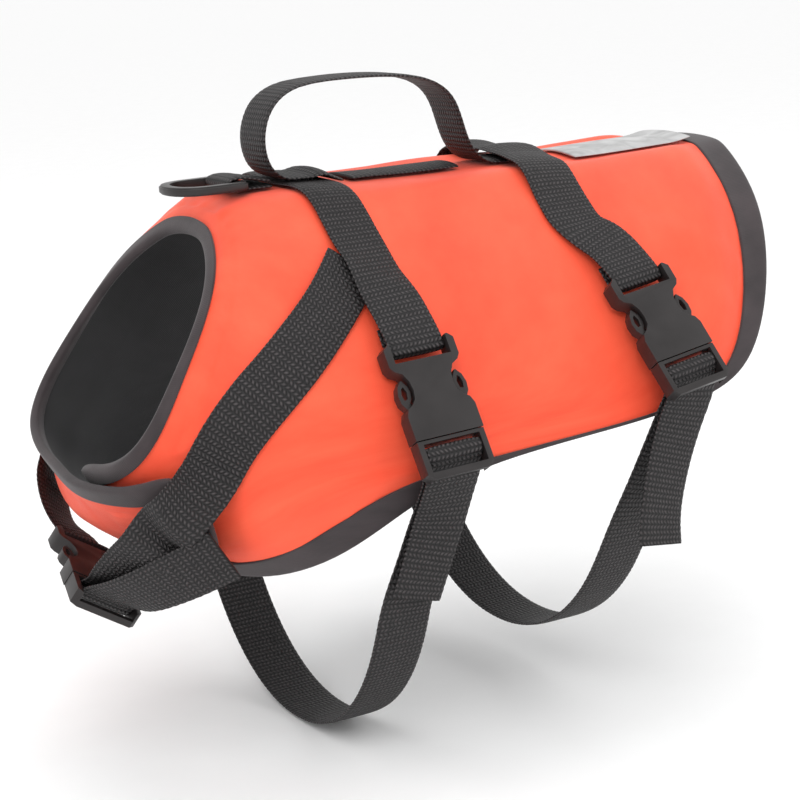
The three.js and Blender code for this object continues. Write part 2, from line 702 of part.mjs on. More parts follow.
// Middle line of the webbing in a closed buckle's (u, n). It is folded round the socket's bar. Round
// the plug's bar it comes from behind and goes back beside itself under the end of the frame, both
// ends slanting away from the buckle's plane.
const SOCKET_FOLD = [
  [38, -3.1], [32, -3.05], [27, -3], [25.5, -2.98], [24.6, -2.55], [24.3, -1.3], [24.3, -0.2], [24.7, 1],
  [25.8, 1.45], [29, 1.45], [33, 0.8], [38, -0.5],
];
const PLUG_TURN = [
  [-18.6, -2.85], [-17.3, -2.25], [-16.75, -0.9], [-16.75, 1.8], [-17.3, 2.75], [-18.6, 3.1], [-20.6, 2.95],
  [-22.6, 1.8], [-23.6, 0.2],
];
function plugFold(slantDegrees) {
  const slant = slantDegrees * Math.PI / 180;
  const away = (u, n, reach) => [u - reach * Math.cos(slant), n - reach * Math.sin(slant)];
  const arriving = [9, 3].map((reach) => away(-19.8, -3.1, reach));
  const leaving = [0, 4].map((reach) => away(-24.3, -1.4, reach));
  return [...arriving, ...PLUG_TURN, ...leaving];
}

function foldPoints(frame, fold) {
  return fold.map(([u, n], k) => {
    const [u0, n0] = fold[Math.max(0, k - 1)];
    const [u1, n1] = fold[Math.min(fold.length - 1, k + 1)];
    const hint = frame.n.clone().multiplyScalar(u1 - u0).addScaledVector(frame.u, -(n1 - n0));
    return { p: frame.at(0, u, n), hint: hint.normalize() };
  });
}

// Strap stations along middle points, each with a hint of the way its outer face looks.
function pathStations(points, width = WEB_WIDTH, wall = WEB_WALL) {
  return points.map(({ p, hint }, k) => {
    const before = points[Math.max(0, k - 1)].p;
    const after = points[Math.min(points.length - 1, k + 1)].p;
    const travel = after.clone().sub(before).normalize();
    const normal = hint.clone().addScaledVector(travel, -hint.dot(travel)).normalize();
    const across = travel.clone().cross(normal);
    return freeStation(p.clone().addScaledVector(normal, -wall / 2), across, normal, width);
  });
}

// Even steps along a smooth line through middle points, hints blended between them.
function resample(points, step) {
  const curve = new THREE.CatmullRomCurve3(points.map((q) => q.p), false, 'centripetal');
  curve.arcLengthDivisions = 40 * points.length;
  const count = Math.max(2, Math.round(curve.getLength() / step));
  return Array.from({ length: count + 1 }, (_, k) => {
    const u = curve.getUtoTmapping(k / count, null);
    const place = u * (points.length - 1);
    const i = Math.min(points.length - 2, Math.floor(place));
    const hint = points[i].hint.clone().lerp(points[i + 1].hint, place - i).normalize();
    return { p: curve.getPoint(u), hint };
  });
}

// Strap laid on the cloth through spots, in steps of about the given mm.
function laidStations(spots, step, width = WEB_WIDTH) {
  const curve = outline(spots);
  const length = lineLength((k) => {
    const q = curve(k);
    return bodyPoint(q.s, q.t);
  });
  const count = Math.max(2, Math.round(length / step));
  return Array.from({ length: count + 1 }, (_, k) => {
    const q = curve(k / count);
    const before = curve(Math.max(0, k / count - 0.01));
    const after = curve(Math.min(1, k / count + 0.01));
    const travel = bodyPoint(after.s, after.t).sub(bodyPoint(before.s, before.t)).normalize();
    return clothStation(q, travel.cross(bodyNormal(q.s, q.t)).normalize(), width);
  });
}
const middleOf = (station, wall = WEB_WALL) => ({
  p: station[1].point.clone().addScaledVector(station[1].normal, wall / 2),
  hint: station[1].normal.clone(),
});

// Spine strip, patch, leash tab and chest straps go on first, then the girth straps over them.
const SPINE_STRIP = { from: -9, to: 46 };
const PATCH = { from: 105, to: 172, width: 40, wall: 1 };

// Leash ring: a flat D with its straight bar to the rear, held by a tab folded round the bar.
const RING = { barX: -61.5, tipX: -95, half: 18, arm: 4.6, low: 2.2, top: 6, barLow: 3.6, centreX: -78 };
const RING_POWER = 2.3;
const TAB = { from: -49, to: -61, width: 24 };
const TAB_TURN = [
  [-64, 2], [-67, 2.3], [-69.2, 3.1], [-69.9, 4.7], [-69.2, 6.2], [-67, 7.15], [-63, 7.25], [-59, 6.6], [-54, 5.3],
  [-49.5, 4.6],
];
function ringOutline(inset) {
  const { barX, tipX, half, centreX } = RING;
  const points = [];
  for (let k = 0; k <= 16; k += 1) {
    const angle = Math.PI * (0.5 + k / 16);
    const c = Math.abs(Math.cos(angle)) ** (2 / RING_POWER);
    const s = Math.abs(Math.sin(angle)) ** (2 / RING_POWER) * Math.sign(Math.sin(angle));
    points.push([centreX - (centreX - tipX - inset) * c, (half - inset) * s]);
  }
  const corner = 3.4 - 0.4 * inset;
  const edge = barX - inset;
  const side = half - inset;
  return [
    [edge - corner, side], ...points, [edge - corner, -side], [edge - 0.3 * corner, -side + 0.3 * corner],
    [edge, -side + corner], [edge, side - corner], [edge - 0.3 * corner, side - 0.3 * corner],
  ];
}
function ringSolid() {
  const { barX, half, arm, low, top, barLow } = RING;
  const bevel = 0.7;
  const rim = prism(ringOutline(0), low + bevel, top - bevel)
    .add(prism(ringOutline(bevel), low, top));
  const hole = prism(ringOutline(arm), low - 1, top + 1);
  const recess = slab(barX - arm - 0.1, barX + 1, -half + arm, half - arm, low - 1, barLow);
  return toGeometry(rim.subtract(hole).subtract(recess));
}
const spineSpots = (from, to) => [0, 1, 2, 3].map((k) => spotAtX(0, from + (to - from) * k / 3));

// Girth straps. x is where each crosses the side view, by the drop z of the panel; the loop hangs
// as a superellipse from loopTop to loopLow.
const GIRTHS = {
  front: {
    crossing: [{ turn: 0, x: -33 }, { turn: 0.08, x: -33 }, { turn: 0.16, x: -30 }, { turn: 0.3, x: -28 }],
    leaveTurn: 0.125,
    hemTurn: 0.278,
    buckle: { x: -28, z: -91, up: [-0.03, 0.5, 0.865], out: [-0.02, -0.866, 0.5] },
    loop: { x: -41, half: 104, top: -115, low: -247, shift: 15, from: -175, over: 55 },
    tail: 54,
    spread: 3,
    slant: 32,
    start: -132,
  },
  rear: {
    crossing: [{ turn: 0, x: 80 }, { turn: 0.06, x: 77 }, { turn: 0.12, x: 76 }, { turn: 0.3, x: 84 }],
    leaveTurn: 0.1,
    hemTurn: 0.256,
    buckle: { x: 90, z: -78, up: [-0.14, 0.62, 0.77], out: [-0.02, -0.8, 0.6] },
    loop: { x: 73, half: 115, top: -75, low: -225, shift: 17, from: -165, over: 70 },
    tail: 66,
    spread: 20,
    slant: 38,
    start: -120,
  },
};
const LOOP_POWER = 2.1;
const TAIL_SEAT = WEB_WALL + 0.7;

function girthSolid(girth) {
  const { buckle, loop } = girth;
  const spot = onSide(buckle.x, buckle.z, -1);
  const frame = buckleFrame(bodyPoint(spot.s, spot.t), v3(...buckle.up), v3(...buckle.out));
  const spots = [];
  for (let k = 0; k <= 12; k += 1) {
    const t = -girth.leaveTurn + (girth.hemTurn + girth.leaveTurn) * k / 12;
    spots.push(spotAtX(t, tableAt(girth.crossing, 'turn', Math.abs(t), 'x')));
  }
  const cloth = laidStations(spots, 8.5);
  const fold = foldPoints(frame, SOCKET_FOLD);
  const rise = resample([fold.at(-1), { p: frame.at(0, 46, -2.6), hint: frame.n }, middleOf(cloth[0])], 9);
  const hang = [];
  for (let k = 0; k <= 24; k += 1) {
    const angle = Math.PI * k / 24;
    const reach = Math.abs(Math.cos(angle)) ** (2 / LOOP_POWER) * Math.sign(Math.cos(angle));
    const fall = Math.sin(angle) ** (2 / LOOP_POWER);
    const z = loop.top - (loop.top - loop.low) * fall;
    if (z > girth.start) continue;
    const x = loop.x + loop.shift * smooth((z - loop.from) / loop.over);
    const hint = v3(0, reach * (loop.top - loop.low), (z - loop.top) * 1.2 - 0.2 * fall).normalize();
    hang.push({ p: v3(x, loop.half * reach, z), hint });
  }
  const plug = foldPoints(frame, plugFold(girth.slant));
  const belly = resample([middleOf(cloth.at(-1)), ...hang, plug[0]], 10);
  const tail = [];
  let along = 0;
  for (let k = belly.length - 2; k > 0 && along < girth.tail; k -= 1) {
    along += belly[k].p.distanceTo(belly[k + 1].p);
    const apart = girth.spread * (along / girth.tail) ** 2;
    const p = belly[k].p.clone().addScaledVector(belly[k].hint, TAIL_SEAT).add(v3(0, -apart, 0));
    tail.push({ p, hint: belly[k].hint.clone().negate() });
  }
  const stations = [
    ...pathStations([...fold, ...rise.slice(1, -1), middleOf(cloth[0])]).slice(0, -1),
    ...clearSeats(cloth),
    ...pathStations([middleOf(cloth.at(-1)), ...belly.slice(1, -1), ...plug, ...tail]).slice(1),
  ];
  return { frame, geometry: strapSolid(stations) };
}

// Chest straps: from under the front girth strap down each side to the buckle before the chest.
const CHEST_SPOTS = {
  near: [[-40, -35], [-58, -48], [-71, -57], [-82, -65], [-93, -74], [-102, -83], [-110, -92], [-117, -103],
    [-124, -113], [-130, -120]],
  far: [[-40, -35], [-58, -48], [-74, -60], [-90, -73], [-104, -86], [-116, -99]],
};
const FAR_CHEST_END = [{ s: 1.62, t: 0.335 }, { s: 1.58, t: 0.37 }];
const CHEST_BUCKLE = { at: [-144.2, -2.6, -158.8], up: [0.2, 0.95, 0.23], out: [-0.51, 0.3, -0.81] };
const CHEST_SOCKET_END = 31;
const CHEST_SLANT = 58;
const NEAR_CHEST_RUN = [
  { p: [-142, -67, -131.5], hint: [-0.8, -0.45, -0.4] },
  { p: [-145, -53, -142], hint: [-0.78, -0.3, -0.55] },
  { p: [-147, -41, -151], hint: [-0.65, -0.4, -0.65] },
];
const CHEST_TAIL = [
  { p: [-145.5, -44.5, -157.5], hint: [-0.6, -0.45, -0.66] },
  { p: [-137.5, -61, -150], hint: [-0.7, -0.4, -0.6] },
  { p: [-127.7, -74.5, -142], hint: [-0.7, -0.55, -0.45] },
  { p: [-116.2, -83.7, -135], hint: [-0.67, -0.62, -0.4] },
];

const strapNodes = [];
function lay(name, geometry) {
  strapNodes.push(addNode(name, geometry, COLOURS.webbing, 0.75));
}

lay('spine_strip', strapSolid(clearSeats(laidStations(spineSpots(SPINE_STRIP.from, SPINE_STRIP.to), 9, 22))));

const patchSpots = spineSpots(PATCH.from, PATCH.to);
const patchStations = clearSeats(laidStations(patchSpots, 9, PATCH.width));
addNode('reflective_patch', strapSolid(patchStations, PATCH.wall), COLOURS.patch, 0.35);

const inPlane = (x, z) => v3(x, 0, z);
const clockwise = (points) => points.map((p, k) => {
  const along = points[Math.min(points.length - 1, k + 1)].clone().sub(points[Math.max(0, k - 1)]).normalize();
  return { p, hint: v3(along.z, 0, -along.x) };
});
const tabTurn = clockwise(TAB_TURN.map(([x, z]) => inPlane(x, z)));
lay('leash_tab', strapSolid([
  ...clearSeats(laidStations(spineSpots(TAB.from, TAB.to), 6, TAB.width)),
  ...pathStations(tabTurn, TAB.width),
]));
addNode('leash_ring', ringSolid(), COLOURS.plastic, 0.35);

const chestFrame = buckleFrame(v3(...CHEST_BUCKLE.at), v3(...CHEST_BUCKLE.up), v3(...CHEST_BUCKLE.out), false);
const chestSpots = (side, sign) => CHEST_SPOTS[side].map(([x, z]) => onSide(x, z, sign));
const nearCloth = laidStations(chestSpots('near', -1), 9);
const farCloth = laidStations([...chestSpots('far', 1), ...FAR_CHEST_END].reverse(), 9);
const chestPlug = foldPoints(chestFrame, plugFold(CHEST_SLANT));
const chestFold = foldPoints(chestFrame, SOCKET_FOLD.filter(([u]) => u < CHEST_SOCKET_END));
const readPath = (rows) => rows.map(({ p, hint }) => ({ p: v3(...p), hint: v3(...hint).normalize() }));
const turnedHints = (rows) => rows.map(({ p, hint }) => ({ p, hint: hint.clone().negate() }));
const nearRun = resample([middleOf(nearCloth.at(-1)), ...readPath(NEAR_CHEST_RUN), chestPlug[0]], 9);
const chestTail = resample([chestPlug.at(-1), ...turnedHints(readPath(CHEST_TAIL))], 11);
const farRun = resample([
  chestFold.at(-1),
  { p: chestFrame.at(0, 33, 0.9), hint: chestFrame.n },
  { p: chestFrame.at(0, 36, 0.4), hint: chestFrame.n },
  ...readPath([{ p: [-142.5, 41, -144], hint: [-0.7, 0.3, -0.65] }]),
  middleOf(farCloth[0]),
], 9);
lay('chest_strap_near', strapSolid([
  ...clearSeats(nearCloth),
  ...pathStations([middleOf(nearCloth.at(-1)), ...nearRun.slice(1, -1), ...chestPlug, ...chestTail.slice(1)]).slice(1),
]));
lay('chest_strap_far', strapSolid([
  ...pathStations([...chestFold, ...farRun.slice(1, -1), middleOf(farCloth[0])]).slice(0, -1),
  ...clearSeats(farCloth),
]));
addBuckle('chest_buckle', chestFrame);

// Carrying handle: its front foot lies over the front girth strap, its rear foot under the rear one.
const HANDLE = {
  frontFoot: { from: -14, to: -42 },
  rearFoot: { from: 62, to: 94 },
  loop: [[-46, 6.8], [-49.5, 11], [-51.5, 19], [-50.5, 28], [-46, 37], [-38, 42.5], [-28, 45], [-8, 45.5], [10, 45],
    [27, 43], [39, 38.5], [46, 31], [49, 21], [51.5, 12], [55, 5.5]],
};
const turnedOver = (stations, wall = WEB_WALL) => stations.map((seats) => [...seats].reverse().map((seat) => ({
  point: seat.point.clone().addScaledVector(seat.normal, wall),
  normal: seat.normal.clone().negate(),
})));
function handleSolid() {
  const front = clearSeats(laidStations(spineSpots(HANDLE.frontFoot.from, HANDLE.frontFoot.to), 5));
  const rear = clearSeats(laidStations(spineSpots(HANDLE.rearFoot.from, HANDLE.rearFoot.to), 6));
  const rearTurned = turnedOver(rear);
  const line = [middleOf(front.at(-1)).p, ...HANDLE.loop.map(([x, z]) => inPlane(x, z)), middleOf(rear[0]).p];
  return strapSolid([...front, ...pathStations(clockwise(line)).slice(1, -1), ...rearTurned]);
}

for (const [name, girth] of Object.entries(GIRTHS)) {
  const { frame, geometry } = girthSolid(girth);
  lay(`girth_strap_${name}`, geometry);
  addBuckle(`${name}_buckle`, frame);
  if (name === 'front') lay('handle', handleSolid());
}

export default part;
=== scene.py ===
"""Dog life jacket: coated orange panels over foam, black webbing, moulded buckles, handle and ring.

The panels and straps are laid over the faces of the frame's cloth solids, in metres.
"""

import heapq
import logging
import math
from dataclasses import dataclass, field
from enum import Enum

import bmesh
import bpy
import numpy as np
from mathutils import Matrix, Vector, noise


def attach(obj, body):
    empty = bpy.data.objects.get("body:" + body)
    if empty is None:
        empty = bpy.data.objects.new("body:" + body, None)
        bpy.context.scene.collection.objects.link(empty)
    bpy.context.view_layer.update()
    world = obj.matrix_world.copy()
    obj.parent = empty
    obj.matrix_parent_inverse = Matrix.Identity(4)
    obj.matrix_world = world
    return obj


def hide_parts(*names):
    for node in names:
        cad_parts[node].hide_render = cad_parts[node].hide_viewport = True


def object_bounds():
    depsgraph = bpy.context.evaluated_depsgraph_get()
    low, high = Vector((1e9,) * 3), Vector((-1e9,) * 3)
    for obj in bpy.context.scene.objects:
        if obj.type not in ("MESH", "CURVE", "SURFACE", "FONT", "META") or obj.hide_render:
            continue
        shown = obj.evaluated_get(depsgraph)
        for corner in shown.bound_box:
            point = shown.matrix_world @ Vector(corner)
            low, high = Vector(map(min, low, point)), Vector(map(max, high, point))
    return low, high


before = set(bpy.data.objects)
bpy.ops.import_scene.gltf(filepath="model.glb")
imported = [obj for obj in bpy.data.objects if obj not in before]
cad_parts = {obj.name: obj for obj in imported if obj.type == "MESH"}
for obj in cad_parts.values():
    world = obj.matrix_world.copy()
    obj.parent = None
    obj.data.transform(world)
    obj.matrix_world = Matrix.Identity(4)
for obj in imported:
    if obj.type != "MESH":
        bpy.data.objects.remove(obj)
CAD_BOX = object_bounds()

MM = 0.001
LOG = logging.getLogger("life_jacket")


class Slot(Enum):
    """Names of the record's material slots; each piece passes one to dress, which doesn't use it."""

    SHELL = "shell_cloth"
    LINING = "lining_cloth"
    BINDING = "binding_cloth"
    WEBBING = "webbing"
    PLASTIC = "moulded_plastic"
    REFLECTIVE = "reflective_cloth"


def linear(hex_colour: str) -> tuple[float, float, float, float]:
    """Turns an sRGB hex colour to linear light.

    Args:
        hex_colour: six hex digits after a hash sign.

    Returns:
        Red, green, blue and an alpha of one.
    """
    shares = [int(hex_colour[k:k + 2], 16) / 255 for k in (1, 3, 5)]
    return (*(s / 12.92 if s <= 0.04045 else ((s + 0.055) / 1.055) ** 2.4 for s in shares), 1.0)


def add_node(tree: bpy.types.NodeTree, kind: str, links: dict | None = None, **settings) -> bpy.types.Node:
    """Adds one node with its settings and its inputs.

    Args:
        tree: the material's node tree.
        kind: the node's type without its ShaderNode prefix.
        links: an output socket or a plain value for each input, by the input's name or number.
        settings: the node's own properties.

    Returns:
        The new node.
    """
    node = tree.nodes.new(f"ShaderNode{kind}")
    for name, value in settings.items():
        setattr(node, name, value)
    for key, value in (links or {}).items():
        if isinstance(value, bpy.types.NodeSocket):
            tree.links.new(value, node.inputs[key])
        else:
            node.inputs[key].default_value = value
    return node


@dataclass(frozen=True)
class Finish:
    """What every finish has: its material's name and its two main colours."""

    name: str
    dark: str
    light: str
    roughness: float = 0.6
    sheen: float = 0.0
    bump: float = 0.3
    bump_depth: float = 0.0002

    def start(self) -> tuple[bpy.types.Material, bpy.types.NodeTree]:
        """Makes the empty material.

        Returns:
            The material and its node tree with nothing in it.
        """
        material = bpy.data.materials.new(self.name)
        material.use_nodes = True
        material.node_tree.nodes.clear()
        return material, material.node_tree

    def surface(self, tree: bpy.types.NodeTree, colour: bpy.types.NodeSocket,
                height: bpy.types.NodeSocket, rough: bpy.types.NodeSocket | float) -> None:
        """Closes a node tree with its shader and output.

        Args:
            tree: the material's node tree.
            colour: the socket that gives the colour.
            height: the socket that gives the relief.
            rough: the socket or number that gives the roughness.
        """
        relief = add_node(tree, "Bump", {"Strength": self.bump, "Distance": self.bump_depth,
                                         "Height": height})
        links = {"Base Color": colour, "Roughness": rough, "Normal": relief.outputs["Normal"]}
        shader = add_node(tree, "BsdfPrincipled", links)
        shader.inputs["Sheen Weight"].default_value = self.sheen
        shader.inputs["Sheen Roughness"].default_value = 0.5
        shader.inputs["Specular IOR Level"].default_value = 0.4
        add_node(tree, "OutputMaterial", {"Surface": shader.outputs["BSDF"]})


@dataclass(frozen=True)
class CoatedTaffeta(Finish):
    """Polyester taffeta with a coating: tight plain weave, matt, with a soft even glow."""

    thread: float = 0.9  # mm; the real 0.35 mm threads are drawn this coarse so that they show

    def material(self) -> bpy.types.Material:
        """Builds the material on the panel's own UV map, which is in metres."""
        material, tree = self.start()
        cloth = add_node(tree, "UVMap", uv_map="cloth").outputs["UV"]
        scale = 2 * math.pi / (self.thread * MM)
        turned = add_node(tree, "Mapping", {"Vector": cloth, "Scale": (scale, scale, 1)})
        split = add_node(tree, "SeparateXYZ", {0: turned.outputs[0]})
        warp = add_node(tree, "Math", {0: split.outputs[0]}, operation="SINE")
        weft = add_node(tree, "Math", {0: split.outputs[1]}, operation="SINE")
        weave = add_node(tree, "Math", {0: warp.outputs[0], 1: weft.outputs[0]}, operation="MULTIPLY")
        grain = add_node(tree, "TexNoise", {"Vector": cloth, "Scale": 1400.0, "Detail": 3.0})
        height = add_node(tree, "Math", {0: weave.outputs[0], 1: 0.25, 2: grain.outputs[0]},
                          operation="MULTIPLY_ADD")
        cloud = add_node(tree, "TexNoise", {"Vector": cloth, "Scale": 22.0, "Detail": 4.0,
                                            "Roughness": 0.6})
        patchy = add_node(tree, "MapRange", {"Value": cloud.outputs[0], "From Min": 0.3,
                                             "From Max": 0.7})
        colour = add_node(tree, "Mix", {0: patchy.outputs[0], 6: linear(self.dark),
                                        7: linear(self.light)}, data_type="RGBA")
        rough = add_node(tree, "MapRange", {"Value": grain.outputs[0],
                                            "To Min": self.roughness - 0.08,
                                            "To Max": self.roughness + 0.08})
        self.surface(tree, colour.outputs[2], height.outputs[0], rough.outputs[0])
        return material


@dataclass(frozen=True)
class CoarseWebbing(Finish):
    """Polypropylene webbing: rows of short slanted floats whose slant turns from row to row, with a painted
    highlight on the floats' crests.
    """

    row: float = 2.25      # mm between the rows along the webbing
    float_width: float = 2.0   # mm between the floats across it
    slant: float = 0.55

    def material(self) -> bpy.types.Material:
        """Builds the material on the strap's own UV map, across and along it in metres."""
        material, tree = self.start()
        cloth = add_node(tree, "UVMap", uv_map="cloth").outputs["UV"]
        uneven = add_node(tree, "TexNoise", {"Vector": cloth, "Scale": 260.0, "Detail": 2.0})
        scale = (1 / (self.float_width * MM), 1 / (self.row * MM), 1)
        turned = add_node(tree, "Mapping", {"Vector": cloth, "Scale": scale})
        split = add_node(tree, "SeparateXYZ", {0: turned.outputs[0]})
        wave = add_node(tree, "Math", {0: split.outputs[1], 1: 1.0}, operation="PINGPONG")
        slanted = add_node(tree, "Math", {0: wave.outputs[0], 1: self.slant, 2: split.outputs[0]},
                           operation="MULTIPLY_ADD")
        shaken = add_node(tree, "Math", {0: uneven.outputs[0], 1: 0.35, 2: slanted.outputs[0]},
                          operation="MULTIPLY_ADD")
        turn = add_node(tree, "Math", {0: shaken.outputs[0], 1: math.pi}, operation="MULTIPLY")
        sine = add_node(tree, "Math", {0: turn.outputs[0]}, operation="SINE")
        floats = add_node(tree, "Math", {0: sine.outputs[0]}, operation="ABSOLUTE")
        along = add_node(tree, "Math", {0: split.outputs[1], 1: math.pi}, operation="MULTIPLY")
        swing = add_node(tree, "Math", {0: along.outputs[0]}, operation="SINE")
        rows = add_node(tree, "Math", {0: swing.outputs[0]}, operation="ABSOLUTE")
        height = add_node(tree, "Math", {0: floats.outputs[0], 1: rows.outputs[0]},
                          operation="MULTIPLY")
        crest = add_node(tree, "Math", {0: height.outputs[0], 1: 2.2}, operation="POWER")
        # The light colour is a painted highlight: glints on the floats' crests, broken up by noise.
        painted_glint = add_node(tree, "Math", {0: crest.outputs[0], 1: uneven.outputs[0]},
                        operation="MULTIPLY")
        shade = add_node(tree, "MapRange", {"Value": painted_glint.outputs[0], "From Max": 0.5})
        colour = add_node(tree, "Mix", {0: shade.outputs[0], 6: linear(self.dark),
                                        7: linear(self.light)}, data_type="RGBA")
        self.surface(tree, colour.outputs[2], height.outputs[0], self.roughness)
        return material


@dataclass(frozen=True)
class PlainCloth(Finish):
    """Nylon tape or lining: fine ribs across the run and a faint nap."""

    rib: float = 0.9   # mm; drawn about twice as coarse as the real ribs so that they show

    def material(self) -> bpy.types.Material:
        """Builds the material on the piece's own UV map, in metres."""
        material, tree = self.start()
        cloth = add_node(tree, "UVMap", uv_map="cloth").outputs["UV"]
        scale = 2 * math.pi / (self.rib * MM)
        turned = add_node(tree, "Mapping", {"Vector": cloth, "Scale": (scale, scale, 1)})
        split = add_node(tree, "SeparateXYZ", {0: turned.outputs[0]})
        ribs = add_node(tree, "Math", {0: split.outputs[1]}, operation="SINE")
        nap = add_node(tree, "TexNoise", {"Vector": cloth, "Scale": 900.0, "Detail": 4.0})
        height = add_node(tree, "Math", {0: ribs.outputs[0], 1: 0.3, 2: nap.outputs[0]},
                          operation="MULTIPLY_ADD")
        cloud = add_node(tree, "TexNoise", {"Vector": cloth, "Scale": 60.0, "Detail": 3.0})
        shade = add_node(tree, "MapRange", {"Value": cloud.outputs[0], "From Min": 0.3,
                                            "From Max": 0.7})
        colour = add_node(tree, "Mix", {0: shade.outputs[0], 6: linear(self.dark),
                                        7: linear(self.light)}, data_type="RGBA")
        self.surface(tree, colour.outputs[2], height.outputs[0], self.roughness)
        return material


@dataclass(frozen=True)
class MouldedAcetal(Finish):
    """Injection-moulded acetal: satin from a fine spark-eroded mould, smoother where it is rubbed."""

    grit: float = 0.35   # mm between the grains of the mould's surface

    def material(self) -> bpy.types.Material:
        """Builds the material on object coordinates."""
        material, tree = self.start()
        place = add_node(tree, "TexCoord").outputs["Object"]
        grain = add_node(tree, "TexNoise", {"Vector": place, "Scale": 1 / (self.grit * MM),
                                            "Detail": 2.0})
        cloud = add_node(tree, "TexNoise", {"Vector": place, "Scale": 90.0, "Detail": 4.0})
        rough = add_node(tree, "MapRange", {"Value": cloud.outputs[0], "From Min": 0.35,
                                            "From Max": 0.65, "To Min": self.roughness - 0.06,
                                            "To Max": self.roughness + 0.06})
        colour = add_node(tree, "Mix", {0: cloud.outputs[0], 6: linear(self.dark),
                                        7: linear(self.light)}, data_type="RGBA")
        self.surface(tree, colour.outputs[2], grain.outputs[0], rough.outputs[0])
        return material


@dataclass(frozen=True)
class GlassBeadCloth(Finish):
    """Retroreflective cloth: a grey layer of glass beads, faintly creased, with the light and shade of its
    creases painted into its colour.
    """

    bead: float = 0.5   # mm; real beads of 0.06 mm are drawn this coarse so that the grain shows

    def material(self) -> bpy.types.Material:
        """Builds the material on the patch's own UV map, in metres."""
        material, tree = self.start()
        cloth = add_node(tree, "UVMap", uv_map="cloth").outputs["UV"]
        beads = add_node(tree, "TexVoronoi", {"Vector": cloth, "Scale": 1 / (self.bead * MM)})
        cloud = add_node(tree, "TexNoise", {"Vector": cloth, "Scale": 70.0, "Detail": 5.0,
                                            "Distortion": 0.8})
        crease_relief_and_shade = add_node(tree, "MapRange", {"Value": cloud.outputs[0], "From Min": 0.35,
                                              "From Max": 0.65})
        height = add_node(tree, "Math", {0: beads.outputs["Distance"], 1: 0.2,
                                         2: crease_relief_and_shade.outputs[0]}, operation="MULTIPLY_ADD")
        # The colour follows the crease relief: painted shade in the troughs and painted light on the ridges.
        colour = add_node(tree, "Mix", {0: crease_relief_and_shade.outputs[0], 6: linear(self.dark),
                                        7: linear(self.light)}, data_type="RGBA")
        self.surface(tree, colour.outputs[2], height.outputs[0], self.roughness)
        return material


def cubic_weights(count: int, places: np.ndarray, closed: bool = False) -> np.ndarray:
    """Weights of a smooth line through a row of control points.

    Args:
        count: number of control points.
        places: where the line is read, in steps from the first control point.
        closed: whether the line runs round from the last point to the first.

    Returns:
        One row of weights for each place. An open line starts and ends on its end points.
    """
    weights = np.zeros((len(places), count))
    for row, place in enumerate(places):
        first = math.floor(place) if closed else min(count - 2, max(0, math.floor(place)))
        f = place - first
        basis = ((1 - f) ** 3 / 6, (3 * f ** 3 - 6 * f ** 2 + 4) / 6,
                 (-3 * f ** 3 + 3 * f ** 2 + 3 * f + 1) / 6, f ** 3 / 6)
        for k, share in enumerate(basis):
            at = first - 1 + k
            if closed:
                weights[row, at % count] += share
            elif at < 0:
                weights[row, 0] += 2 * share
                weights[row, 1] -= share
            elif at >= count:
                weights[row, count - 1] += 2 * share
                weights[row, count - 2] -= share
            else:
                weights[row, at] += share
    return weights


def unit(vectors: np.ndarray) -> np.ndarray:
    """Vectors of length one, along the last axis."""
    return vectors / np.maximum(np.linalg.norm(vectors, axis=-1, keepdims=True), 1e-12)


